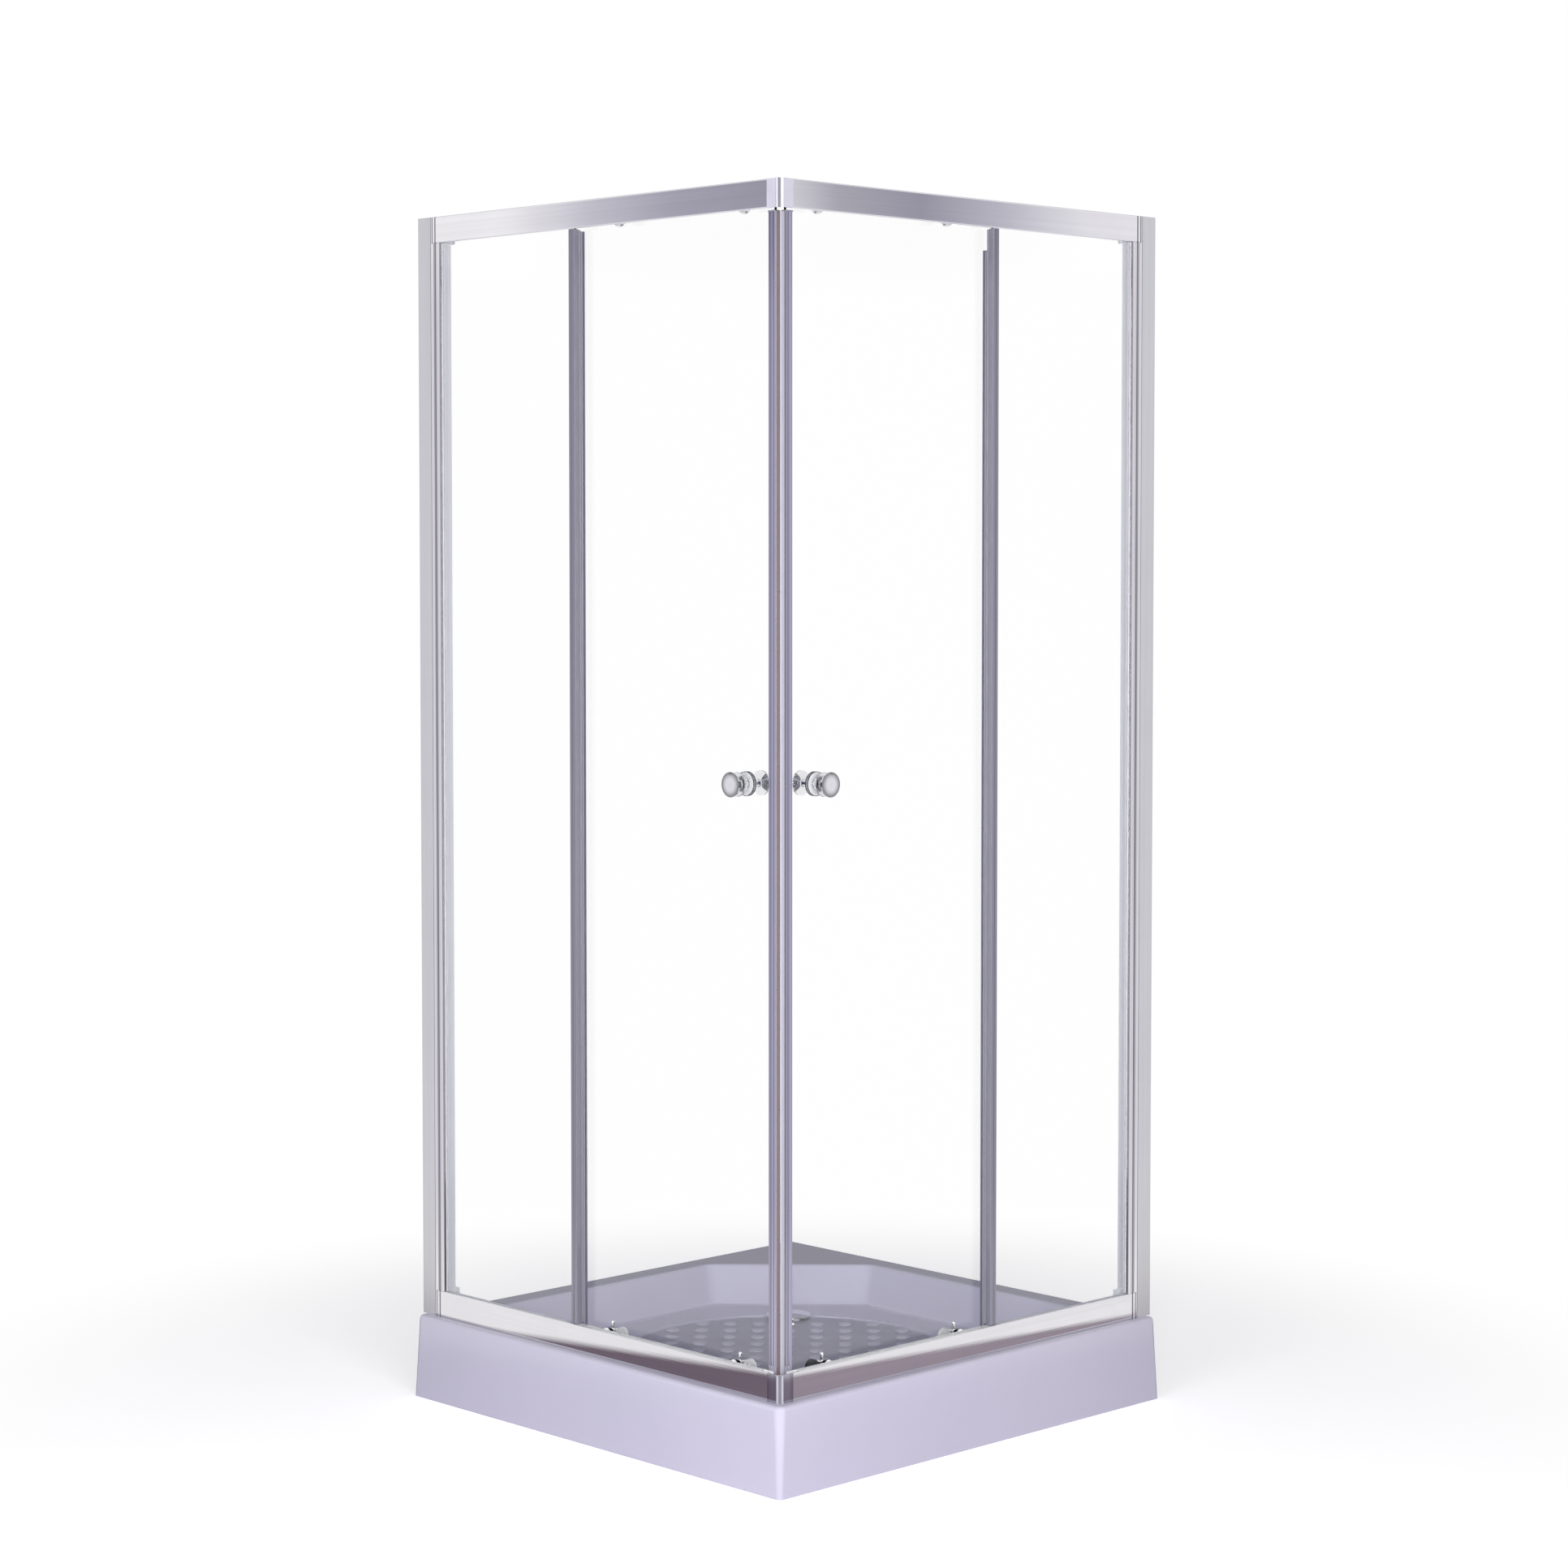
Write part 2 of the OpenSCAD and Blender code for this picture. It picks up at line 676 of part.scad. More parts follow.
module top_corner() color(chrome) on_left()
  corner_shell(top_rail_z, top_rail_h, false, top_rail_z + 26, top_rail_h - 29);

module bottom_corner() color(chrome) on_left()
  corner_shell(tray_h, sill_h, true, tray_h + 3, sill_pocket - 5);

// ---- Fixed glass ----

fixed_glass_low = tray_h + sill_pocket + wall_t + 3;
fixed_glass_high = total_h - wall_t - 7;
fixed_glass_to = rail_end - 1.5;

module fixed_glass() color(glass_tint)
  translate([mid_post_at + post_skin, frame_in + fixed_at, fixed_glass_low])
    cube([fixed_glass_to - mid_post_at - post_skin, glass_t, fixed_glass_high - fixed_glass_low]);

// U-shaped rubber lengths in the two rails and in the side post.
module gasket_u(depth, grip) difference() {
  square([glass_t + 2 * pocket_gap - 0.2, depth + grip]);
  translate([pocket_gap - 0.1, depth]) square([glass_t, grip + 1]);
}

module side_gaskets() {
  grip = glass_grip - 1.5;
  from = mid_post_at + mid_post_w + 1;
  rail_run(from, side_post_at - 0.3, 0) {
    translate([fixed_at - pocket_gap + 0.1, fixed_glass_low - 3]) gasket_u(3, grip);
    translate([fixed_at - pocket_gap + 0.1, fixed_glass_high + 3]) mirror([0, 1]) gasket_u(3, grip);
  }
  post_run(fixed_glass_to + 3.4, sill_top + 0.3, top_rail_z - 0.3)
    translate([0, fixed_at - pocket_gap + 0.1]) rotate(90) gasket_u(3.4, grip);
}

module glazing_gaskets() color(clear_seal) {
  on_left() side_gaskets();
  on_right() side_gaskets();
}

// The post on the free edge: a rounded grip round the glass with a bead down its outer face.
post_skin = 3;
bead_r = 1.2;
module mid_post_section() difference() {
  union() {
    translate([0, fixed_at - post_skin]) round_rect(mid_post_w, glass_t + 2 * post_skin, 2);
    translate([mid_post_w * 0.55, fixed_at - post_skin + 0.2]) circle(bead_r, $fn = smooth);
  }
  translate([post_skin, fixed_at]) square([mid_post_w, glass_t]);
}

module mid_post() color(chrome)
  post_run(mid_post_at, sill_top, top_rail_z) mid_post_section();

// A lip seal on the inside of the post that brushes the door's trailing profile.
module mid_seal() post_run(mid_post_at, sill_top + 1, top_rail_z - 1) translate([0, fixed_in + post_skin]) {
  foot_t = 1.2;
  lip_end = door_at - skin - fixed_in - post_skin - 0.5;
  polygon([[1.5, 0], [7, 0], [7, foot_t], [3.4, foot_t], [2.6, lip_end], [1.6, lip_end], [2.2, foot_t],
    [1.5, foot_t]]);
}

module mid_seals() color(clear_seal) {
  on_left() mid_seal();
  on_right() mid_seal();
}

// Rubber stops on the top track, beyond the rollers at each end of their run.
stop_w = 7;
stop_gap = 0.5;
stop_over = 1.3;

module side_stops() for (at = [roller_front - roller_r - stop_gap - stop_w,
    hanger_rear + door_travel + roller_r + stop_gap])
  rail_run(at, at + stop_w, top_rail_z) difference() {
    translate([track_at - ledge_out, ledge_z + wall_t]) square([2 * ledge_out, top_track_top + stop_over]);
    translate([track_at - track_w / 2, 0]) square([track_w, top_track_top]);
  }

module door_stops() color(rubber) {
  on_left() side_stops();
  on_right() side_stops();
}

// ---- Doors ----

bolt_r = 4;
glass_hole_r = 5;
knob_hole_r = 6;

module door_glass() color(glass_tint) difference() {
  translate([door_glass_from, frame_in + door_at, door_bottom])
    cube([door_glass_to - door_glass_from, glass_t, door_top - door_bottom]);
  pointing_in(knob_at, door_at - 1, knob_z) cylinder(r = knob_hole_r, h = glass_t + 2, $fn = smooth);
  for (at = [roller_front, hanger_rear])
    pointing_in(at, door_at - 1, hanger_z) cylinder(r = glass_hole_r, h = glass_t + 2, $fn = smooth);
  for (at = [roller_front, roller_rear])
    pointing_in(at + clamp_at, door_at - 1, clamp_z)
      cylinder(r = glass_hole_r, h = glass_t + 2, $fn = smooth);
}

// Lead profile: grips the glass, with a bead and a groove down its face and a slot for the magnet seal.
module lead_section() difference() {
  union() {
    translate([0, door_at - skin]) round_rect(lead_w, glass_t + 2 * skin, 1.5);
    translate([lead_w * 0.58, door_at - skin + 0.3]) circle(bead_r, $fn = smooth);
  }
  translate([door_glass_from - lead_at, door_at]) square([lead_w, glass_t]);
  translate([-1, door_at + 0.5]) square([3, glass_t - 1]);
  translate([lead_w * 0.3, door_at - skin]) circle(0.7, $fn = smooth);
}

module lead_profile() color(chrome)
  post_run(lead_at, door_bottom, top_rail_z - left_top_gap) lead_section();

// Magnet seal: its face lies on the diagonal, where it meets the other door's seal.
module magnet_seal() color(clear_seal) {
  tip = frame_in + door_at - 1.5;
  heel = frame_in + door_in + 1;
  gap = seal_gap / sqrt(2);
  translate([0, 0, door_bottom + 2]) linear_extrude(top_rail_z - 3 - door_bottom - 2) {
    polygon([[tip + gap, tip], [heel + gap, heel], [lead_at - 0.1, heel], [lead_at - 0.1, tip]]);
    translate([lead_at - 0.2, frame_in + door_at + 0.7]) square([2, glass_t - 1.4]);
  }
}

// Trailing profile: a wide grip with two grooves.
module trail_section() difference() {
  translate([0, door_at - skin]) round_rect(trail_w, glass_t + 2 * skin, 1.5);
  translate([-1, door_at]) square([trail_w - 2, glass_t]);
  for (x = [trail_w * 0.28, trail_w * 0.4]) translate([x, door_at - skin]) circle(0.8, $fn = smooth);
}

module trail_profile(top_gap) color(chrome)
  post_run(trail_at, door_bottom, top_rail_z - top_gap) trail_section();

// Drip seal: clips on the bottom edge of the glass between the two profiles.
module drip_seal() color(clear_seal) rail_run(lead_at + lead_w + 1, trail_at - 1, tray_h) {
  difference() {
    translate([door_at - 0.7, 6]) square([glass_t + 1.4, 9]);
    translate([door_at, 10]) square([glass_t, 9]);
  }
  translate([door_at + glass_t / 2 - 0.6, 2]) square([1.2, 4.5]);
}

// ---- Knobs ----

washer_t = 1.5;

// One half of a knob along its axis: stem, optional middle disc, and a slightly domed end disc.
module knob_half(reach, middle) rotate_extrude($fn = smooth) {
  stem = 4.6;
  neck = 5.4;
  disc_t = 3;
  polygon(concat(
    [[0, 0], [9, 0], [9, 1.2]],
    [for (i = [0:8]) [stem + 4.4 * pow(1 - i / 8, 2), 1.2 + 5 * i / 8]],
    middle ? [[stem, reach * 0.5 - 1.5], [knob_r * 0.55, reach * 0.5 - 0.6], [knob_r - 1, reach * 0.5],
      [knob_r - 0.4, reach * 0.5 + 1], [knob_r - 1, reach * 0.5 + 2],
      [neck + 2, reach * 0.5 + 2.4]] : [],
    [[neck, reach - disc_t - 4.5]],
    [for (i = [0:8]) [neck + (knob_r - neck) * pow(i / 8, 1.6), reach - disc_t - 4 + 4 * pow(i / 8, 0.5)]],
    [[knob_r, reach - 0.9]],
    [for (i = [0:6]) [(knob_r - 0.8) * cos(i * 15), reach - 0.9 + 0.9 * sin(i * 15)]]
  ));
}

module knob_outer() color(chrome)
  pointing_out(knob_at, door_at - washer_t, knob_z) knob_half(knob_reach - washer_t, true);

module knob_inner() color(chrome) {
  pointing_in(knob_at, door_in + washer_t, knob_z) knob_half(inner_reach - washer_t, false);
  pointing_in(knob_at, door_at - washer_t, knob_z)
    cylinder(r = bolt_r, h = glass_t + 2 * washer_t, $fn = smooth);
}

module knob_washers() color(rubber) {
  pointing_out(knob_at, door_at, knob_z) ring(knob_r - 0.5, bolt_r + running_fit, washer_t);
  pointing_in(knob_at, door_in, knob_z) ring(knob_r - 0.5, bolt_r + running_fit, washer_t);
}

// ---- Rollers and their fittings ----

// Round cap outside the glass, with its bolt through the glass and a socket for a hex key.
cap_h = 4.5;
cap_taper = 1.5;
socket_r = 2.6;
socket_depth = 2;
module clamp_cap(r) difference() {
  union() {
    cylinder(r1 = r, r2 = r - cap_taper, h = cap_h, $fn = smooth);
    translate([0, 0, -glass_t]) cylinder(r = glass_hole_r - 0.1, h = glass_t + 1, $fn = smooth);
  }
  translate([0, 0, cap_h - socket_depth]) cylinder(r = socket_r, h = socket_depth + 1, $fn = 6);
}

// Axle stub from the arm outward: a shoulder, the journal, and a head that keeps the roller on.
module axle(from) {
  cylinder(r = axle_r, h = roller_at + roller_w + 2.4 - from, $fn = smooth);
  cylinder(r = axle_r + 2, h = roller_at - 0.1 - from, $fn = smooth);
  translate([0, 0, roller_at + roller_w + 0.2 - from]) cylinder(r = axle_r + 1.8, h = 2, $fn = smooth);
}

hanger_cap_r = 13;
hanger_arm_r = 9;
module top_hanger(at) {
  pointing_out(at, door_at, hanger_z) clamp_cap(hanger_cap_r);
  pointing_in(at, door_in, top_rail_z) linear_extrude(arm_t + 0.5)
    mirror([0, 1]) link(hanger_arm_r, hanger_z - top_rail_z, top_roller_z - top_rail_z);
  pointing_in(at, door_in + arm_t + 0.3, top_roller_z) axle(door_in + arm_t + 0.3);
}

module top_hangers() color(chrome) for (at = [roller_front, hanger_rear]) top_hanger(at);

// Grooved nylon roller with a hollowed face and a hub.
module roller(at, z) color(nylon) pointing_in(at, roller_at, z) rotate_extrude($fn = smooth)
  difference() {
    translate([axle_r + running_fit, 0]) square([roller_r - axle_r - running_fit, roller_w]);
    polygon([[roller_r + 1, roller_w / 2 - 2.6], [groove_r, roller_w / 2 - 1],
      [groove_r, roller_w / 2 + 1], [roller_r + 1, roller_w / 2 + 2.6]]);
    for (y = [-1, roller_w - 1]) translate([axle_r + 2.4, y]) square([groove_r - axle_r - 4, 2]);
  }

// Bracket clamped through the glass, with the bore for the release pin.
bracket_low = 29;
bracket_high = 44;
bracket_w = 21;
bracket_t = 9.4;
bracket_margin = 8.2;
bracket_cap_r = 8.5;
pin_r = 2.2;
pin_across = arm_at + pin_r + 0.6;

module bottom_bracket(at) {
  pointing_out(at + clamp_at, door_at, clamp_z) clamp_cap(bracket_cap_r);
  difference() {
    translate([at + clamp_at + bracket_margin - bracket_w, frame_in + door_in, tray_h + bracket_low])
      rotate([90, 0, 0]) mirror([0, 0, 1])
      linear_extrude(bracket_t) round_rect(bracket_w, bracket_high - bracket_low, 3);
    translate([at + pin_at, frame_in + pin_across, tray_h])
      cylinder(r = pin_r + running_fit, h = 80, $fn = smooth);
  }
}

module bottom_brackets() color(chrome) for (at = [roller_front, roller_rear]) bottom_bracket(at);

// The sliding carrier: an arm with the roller's axle, and a pull pin that rises through the bracket. The
// pin's collar meets the bracket when the roller is lifted off its track.
module release(at) color(chrome) {
  axle_z = bottom_roller_z - tray_h;
  arm_r = 4.5;
  foot_z = 10;
  foot_h = 6;
  collar_top = bracket_low - release_lift - 0.3;
  translate([at, frame_in + arm_at, tray_h]) rotate([90, 0, 0]) mirror([0, 0, 1]) linear_extrude(arm_t) {
    link(arm_r, foot_z + arm_r, axle_z);
    translate([-arm_r, foot_z]) square([pin_at + 2 * arm_r - 1, foot_h]);
  }
  pointing_in(at, arm_at + arm_t - 0.2, bottom_roller_z) axle(arm_at + arm_t - 0.2);
  translate([at + pin_at, frame_in + pin_across, tray_h]) {
    translate([0, 0, foot_z + 1]) cylinder(r = pin_r, h = bracket_high + 5 - foot_z, $fn = smooth);
    translate([0, 0, foot_z + 1]) cylinder(r = pin_r + 0.4, h = collar_top - foot_z - 1, $fn = smooth);
    translate([0, 0, bracket_high + 2]) cylinder(r = pin_r + 0.8, h = 8, $fn = smooth);
    translate([0, 0, bracket_high + 10]) sphere(r = pin_r + 0.8, $fn = smooth);
  }
}

// ---- Left and right copies ----

module left_wall_profile() on_left() wall_profile();
module right_wall_profile() on_right() wall_profile();
module left_side_post() on_left() side_post();
module right_side_post() on_right() side_post();
module left_top_rail() on_left() top_rail();
module right_top_rail() on_right() top_rail();
module left_sill_rail() on_left() sill_rail();
module right_sill_rail() on_right() sill_rail();
module left_fixed_glass() on_left() fixed_glass();
module right_fixed_glass() on_right() fixed_glass();
module left_mid_post() on_left() mid_post();
module right_mid_post() on_right() mid_post();
module left_door_glass() on_left() door_glass();
module right_door_glass() on_right() door_glass();
module left_lead_profile() on_left() lead_profile();
module right_lead_profile() on_right() lead_profile();
module left_magnet_seal() on_left() magnet_seal();
module right_magnet_seal() on_right() magnet_seal();
module left_trail_profile() on_left() trail_profile(left_top_gap);
module right_trail_profile() on_right() trail_profile(right_top_gap);
module left_drip_seal() on_left() drip_seal();
module right_drip_seal() on_right() drip_seal();
module left_knob_outer() on_left() knob_outer();
module right_knob_outer() on_right() knob_outer();
module left_knob_inner() on_left() knob_inner();
module right_knob_inner() on_right() knob_inner();
module left_knob_washers() on_left() knob_washers();
module right_knob_washers() on_right() knob_washers();
module left_top_hangers() on_left() top_hangers();
module right_top_hangers() on_right() top_hangers();
module left_bottom_brackets() on_left() bottom_brackets();
module right_bottom_brackets() on_right() bottom_brackets();
module left_top_roller_front() on_left() roller(roller_front, top_roller_z);
module right_top_roller_front() on_right() roller(roller_front, top_roller_z);
module left_top_roller_rear() on_left() roller(hanger_rear, top_roller_z);
module right_top_roller_rear() on_right() roller(hanger_rear, top_roller_z);
module left_release_front() on_left() release(roller_front);
module right_release_front() on_right() release(roller_front);
module left_release_rear() on_left() release(roller_rear);
module right_release_rear() on_right() release(roller_rear);
module left_bottom_roller_front() on_left() roller(roller_front, bottom_roller_z);
module right_bottom_roller_front() on_right() roller(roller_front, bottom_roller_z);
module left_bottom_roller_rear() on_left() roller(roller_rear, bottom_roller_z);
module right_bottom_roller_rear() on_right() roller(roller_rear, bottom_roller_z);

tray();
tray_board();
support_bars();
leg_screws();
foot_pads();
waste_trap();
waste_gasket();
waste_flange();
waste_cover();
left_wall_profile();
right_wall_profile();
left_side_post();
right_side_post();
left_top_rail();
right_top_rail();
left_sill_rail();
right_sill_rail();
top_corner();
bottom_corner();
rail_end_caps();
frame_screws();
glazing_gaskets();
left_fixed_glass();
right_fixed_glass();
left_mid_post();
right_mid_post();
mid_seals();
door_stops();
left_door_glass();
left_lead_profile();
left_magnet_seal();
left_trail_profile();
left_drip_seal();
left_knob_outer();
left_knob_inner();
left_knob_washers();
left_top_hangers();
left_bottom_brackets();
left_top_roller_front();
left_top_roller_rear();
left_release_front();
left_release_rear();
left_bottom_roller_front();
left_bottom_roller_rear();
right_door_glass();
right_lead_profile();
right_magnet_seal();
right_trail_profile();
right_drip_seal();
right_knob_outer();
right_knob_inner();
right_knob_washers();
right_top_hangers();
right_bottom_brackets();
right_top_roller_front();
right_top_roller_rear();
right_release_front();
right_release_rear();
right_bottom_roller_front();
right_bottom_roller_rear();
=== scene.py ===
import json
import math

import bmesh
import bpy
from mathutils import Matrix, Vector


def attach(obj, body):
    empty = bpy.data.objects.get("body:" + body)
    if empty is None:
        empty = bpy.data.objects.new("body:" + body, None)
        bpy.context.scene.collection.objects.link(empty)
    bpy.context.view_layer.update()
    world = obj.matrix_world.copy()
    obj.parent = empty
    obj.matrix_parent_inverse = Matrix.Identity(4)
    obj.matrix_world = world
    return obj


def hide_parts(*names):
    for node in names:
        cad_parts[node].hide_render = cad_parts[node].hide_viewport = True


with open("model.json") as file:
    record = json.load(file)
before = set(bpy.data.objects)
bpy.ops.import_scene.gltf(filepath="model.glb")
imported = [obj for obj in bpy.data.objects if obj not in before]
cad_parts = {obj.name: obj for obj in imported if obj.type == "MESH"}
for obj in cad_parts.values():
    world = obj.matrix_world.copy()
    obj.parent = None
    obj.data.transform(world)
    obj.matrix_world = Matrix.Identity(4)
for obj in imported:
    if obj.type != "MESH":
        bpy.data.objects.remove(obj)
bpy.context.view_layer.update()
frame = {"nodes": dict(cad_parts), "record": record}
nodes = frame["nodes"]
sides = ("left", "right")
trayHalf = 0.45  # metres from the tray's middle to its outer edge
print("frame loaded,", len(nodes), "nodes")


cameraView = {
    "place": (4.0887, -3.9671, 1.4353),
    "yaw": 45.898,  # degrees from +Y towards -X
    "pitch": 2.70,  # degrees below the horizon
    "lens": 77.50,
    "shiftUp": -0.045,
    "nearest": 0.1,
    "farthest": 60,
}


def addObject(name, data):
    made = bpy.data.objects.new(name, data)
    bpy.context.scene.collection.objects.link(made)
    return made


def makeCamera(view):
    data = bpy.data.cameras.new("camera")
    data.lens = view["lens"]
    data.shift_y = view["shiftUp"]
    data.clip_start = view["nearest"]
    data.clip_end = view["farthest"]
    camera = addObject("camera", data)
    camera.location = view["place"]
    camera.rotation_euler = (math.radians(90 - view["pitch"]), 0, math.radians(view["yaw"]))
    bpy.context.scene.camera = camera


makeCamera(cameraView)
print("camera placed")


# short ways to write shader nodes

def addNode(tree, kind, **values):
    node = tree.nodes.new("ShaderNode" + kind)
    for name, value in values.items():
        setattr(node, name, value)
    return node


def join(tree, source, target):
    tree.links.new(source, target)


def setInputs(node, values):
    for name, value in values.items():
        node.inputs[name].default_value = value


def feed(tree, socket, value):
    if isinstance(value, (int, float)):
        socket.default_value = value
    elif isinstance(value, tuple):
        socket.default_value = (*value, 1)
    else:
        join(tree, value, socket)


def newMaterial(name, surface):
    material = bpy.data.materials.new(name)
    material.use_nodes = True
    tree = material.node_tree
    shader = tree.nodes["Principled BSDF"]
    setInputs(shader, surface)
    return material, tree, shader


def objectPoint(tree):
    return addNode(tree, "TexCoord").outputs["Object"]


def splitVector(tree, vector):
    split = addNode(tree, "SeparateXYZ")
    join(tree, vector, split.inputs["Vector"])
    return split.outputs["X"], split.outputs["Y"], split.outputs["Z"]


def stretchPoint(tree, point, scale, turn=(0, 0, 0)):
    mapping = addNode(tree, "Mapping")
    setInputs(mapping, {"Scale": scale, "Rotation": turn})
    join(tree, point, mapping.inputs["Vector"])
    return mapping.outputs["Vector"]


noiseSpan = (0.3, 0.7)  # most of a noise's values lie between these
noiseCore = (0.35, 0.65)


def noise(tree, point, scale, detail=3.0, rough=0.5, twist=0.0):
    texture = addNode(tree, "TexNoise")
    setInputs(texture, {"Detail": detail, "Roughness": rough, "Distortion": twist})
    feed(tree, texture.inputs["Scale"], scale)
    join(tree, point, texture.inputs["Vector"])
    return texture.outputs["Fac"]


def spread(tree, value, low, high, outLow=0, outHigh=1, smooth=False):
    node = addNode(tree, "MapRange", interpolation_type="SMOOTHSTEP" if smooth else "LINEAR")
    setInputs(node, {"From Min": low, "From Max": high, "To Min": outLow, "To Max": outHigh})
    join(tree, value, node.inputs["Value"])
    return node.outputs["Result"]


def pastEdge(tree, value, edge, before=0.0, after=0.0):
    # 0 before an edge and 1 past it
    return spread(tree, value, edge - before, edge + after)


def insideEdge(tree, value, edge, before=0.0, after=0.0):
    # 1 before an edge and 0 past it
    return spread(tree, value, edge - before, edge + after, 1, 0)


def maths(tree, operation, a, b=None, clamp=False):
    node = addNode(tree, "Math", operation=operation, use_clamp=clamp)
    for socket, value in zip(node.inputs, (a, b)):
        if value is not None:
            feed(tree, socket, value)
    return node.outputs["Value"]


def plus(tree, a, b):
    return maths(tree, "ADD", a, b)


def minus(tree, a, b, clamp=False):
    return maths(tree, "SUBTRACT", a, b, clamp)


def times(tree, a, b):
    return maths(tree, "MULTIPLY", a, b)


def distanceOf(tree, a, b):
    return maths(tree, "SQRT", plus(tree, times(tree, a, a), times(tree, b, b)))


def raiseBy(tree, base, *layers):
    # a plain value, raised by each mask times its amount
    total = base
    for mask, amount in layers:
        total = plus(tree, times(tree, mask, amount), total)
    return total


def facingUp(tree, low, high):
    # 0 where the surface stands upright, 1 where it faces up
    normal = addNode(tree, "NewGeometry").outputs["Normal"]
    return spread(tree, splitVector(tree, normal)[2], low, high)


plainWhite = (1.0, 1.0, 1.0)


# a Mix node has its vector sockets at 4 and 5, and its colour sockets at 6 and 7
def blendColour(tree, mask, low, high):
    node = addNode(tree, "Mix", data_type="RGBA")
    sockets = (node.inputs["Factor"], node.inputs[6], node.inputs[7])
    for socket, value in zip(sockets, (mask, low, high)):
        feed(tree, socket, value)
    return node.outputs[2]


def tintColour(tree, colour, tint):
    node = addNode(tree, "Mix", data_type="RGBA", blend_type="MULTIPLY")
    setInputs(node, {"Factor": 1.0})
    join(tree, colour, node.inputs[6])
    join(tree, tint, node.inputs[7])
    return node.outputs[2]


def shade(colour, level):
    return tuple(level * c for c in colour)


def toneRamp(tree, share, stops):
    ramp = addNode(tree, "ValToRGB")
    join(tree, share, ramp.inputs["Fac"])
    band = ramp.color_ramp
    while len(band.elements) < len(stops):
        band.elements.new(1.0)
    for element, (place, tone) in zip(band.elements, stops):
        element.position = place
        element.color = tone
    return ramp


def bandRamp(tree, value, marks):
    # tones at set places along one direction; a tone's fourth number is how metallic it is
    low, high = marks[0][0], marks[-1][0]
    stops = [((place - low) / (high - low), tone) for place, tone in marks]
    return toneRamp(tree, spread(tree, value, low, high), stops)


def underBands(tree, colour, value, marks):
    return tintColour(tree, colour, bandRamp(tree, value, marks).outputs["Color"])


def mixShaders(tree, mask, first, second):
    mix = addNode(tree, "MixShader")
    for socket, source in zip(mix.inputs, (mask, first, second)):
        join(tree, source, socket)
    return mix.outputs["Shader"]


def eitherRay(tree, path, first, second):
    return maths(tree, "MAXIMUM", path.outputs[first], path.outputs[second])


def newGroup(name, inputs, outputs):
    tree = bpy.data.node_groups.new(name, "ShaderNodeTree")
    for label, value in inputs.items():
        socket = tree.interface.new_socket(label, in_out="INPUT", socket_type="NodeSocketFloat")
        socket.default_value = value
    for label in outputs:
        tree.interface.new_socket(label, in_out="OUTPUT", socket_type="NodeSocketFloat")
    return tree, tree.nodes.new("NodeGroupInput"), tree.nodes.new("NodeGroupOutput")


def placeGroup(tree, group, values=None):
    node = addNode(tree, "Group", node_tree=group)
    setInputs(node, values or {})
    return node


def bump(tree, shader, height, strength, distance):
    node = addNode(tree, "Bump")
    setInputs(node, {"Strength": strength, "Distance": distance})
    join(tree, height, node.inputs["Height"])
    join(tree, node.outputs["Normal"], shader.inputs["Normal"])


# effects that several materials share

wipedLook = {
    "smearSize": 9.0,
    "smearSpan": (0.35, 0.7),
    "hairlineSize": 160.0,
    "hairlineSpan": (0.62, 0.72),
    "hairlineStretch": (1, 1, 0.05),
    "hairlineTurn": (0.3, 0.2, 0.5),
}


def makeHandling(look):
    # wiping marks: broad smears, and fine hairlines that cross them
    sizes = {"smear size": look["smearSize"], "hairline size": look["hairlineSize"]}
    tree, given, made = newGroup("handling", sizes, ("Smear", "Hairline"))
    point = objectPoint(tree)
    smear = noise(tree, point, given.outputs["smear size"], detail=4, rough=0.6, twist=0.8)
    join(tree, spread(tree, smear, *look["smearSpan"]), made.inputs["Smear"])
    slanted = stretchPoint(tree, point, look["hairlineStretch"], look["hairlineTurn"])
    hairline = noise(tree, slanted, given.outputs["hairline size"], detail=2, rough=0.7)
    join(tree, spread(tree, hairline, *look["hairlineSpan"]), made.inputs["Hairline"])
    return tree


dustLook = {
    "patchSize": 30.0,
    "patchSpan": (0.4, 0.75),
    "amount": 0.5,
    "upSpan": (0.3, 0.95),
}


def makeSettled(look):
    # dust and lime that settle on what faces up
    values = {"patch size": look["patchSize"], "amount": look["amount"]}
    tree, given, made = newGroup("settled", values, ("Mask",))
    facing = facingUp(tree, *look["upSpan"])
    patch = noise(tree, objectPoint(tree), given.outputs["patch size"], detail=5, rough=0.65)
    spots = times(tree, facing, spread(tree, patch, *look["patchSpan"]))
    join(tree, times(tree, spots, given.outputs["amount"]), made.inputs["Mask"])
    return tree


dieLineLook = {
    "size": 6.0,
    "fine": 60,  # how close the lines lie, and how long they run
    "long": 0.6,
    "streakShare": 0.35,
}


def makeDrawLines(look):
    # die lines of an extruded bar: "upright" is 1 where the bar stands and 0 where it lies
    values = {"upright": 1.0, "size": look["size"]}
    tree, given, made = newGroup("drawLines", values, ("Line", "Streak"))
    point = objectPoint(tree)
    fine, long = look["fine"], look["long"]
    standing = stretchPoint(tree, point, (fine, fine, long))
    lying = stretchPoint(tree, point, (long, long, fine))
    choice = addNode(tree, "Mix", data_type="VECTOR")
    join(tree, given.outputs["upright"], choice.inputs["Factor"])
    join(tree, lying, choice.inputs[4])
    join(tree, standing, choice.inputs[5])
    line = noise(tree, choice.outputs[1], given.outputs["size"], detail=3, rough=0.6)
    join(tree, line, made.inputs["Line"])
    wide = times(tree, given.outputs["size"], look["streakShare"])
    streak = noise(tree, choice.outputs[1], wide, detail=2)
    join(tree, spread(tree, streak, *noiseSpan), made.inputs["Streak"])
    return tree


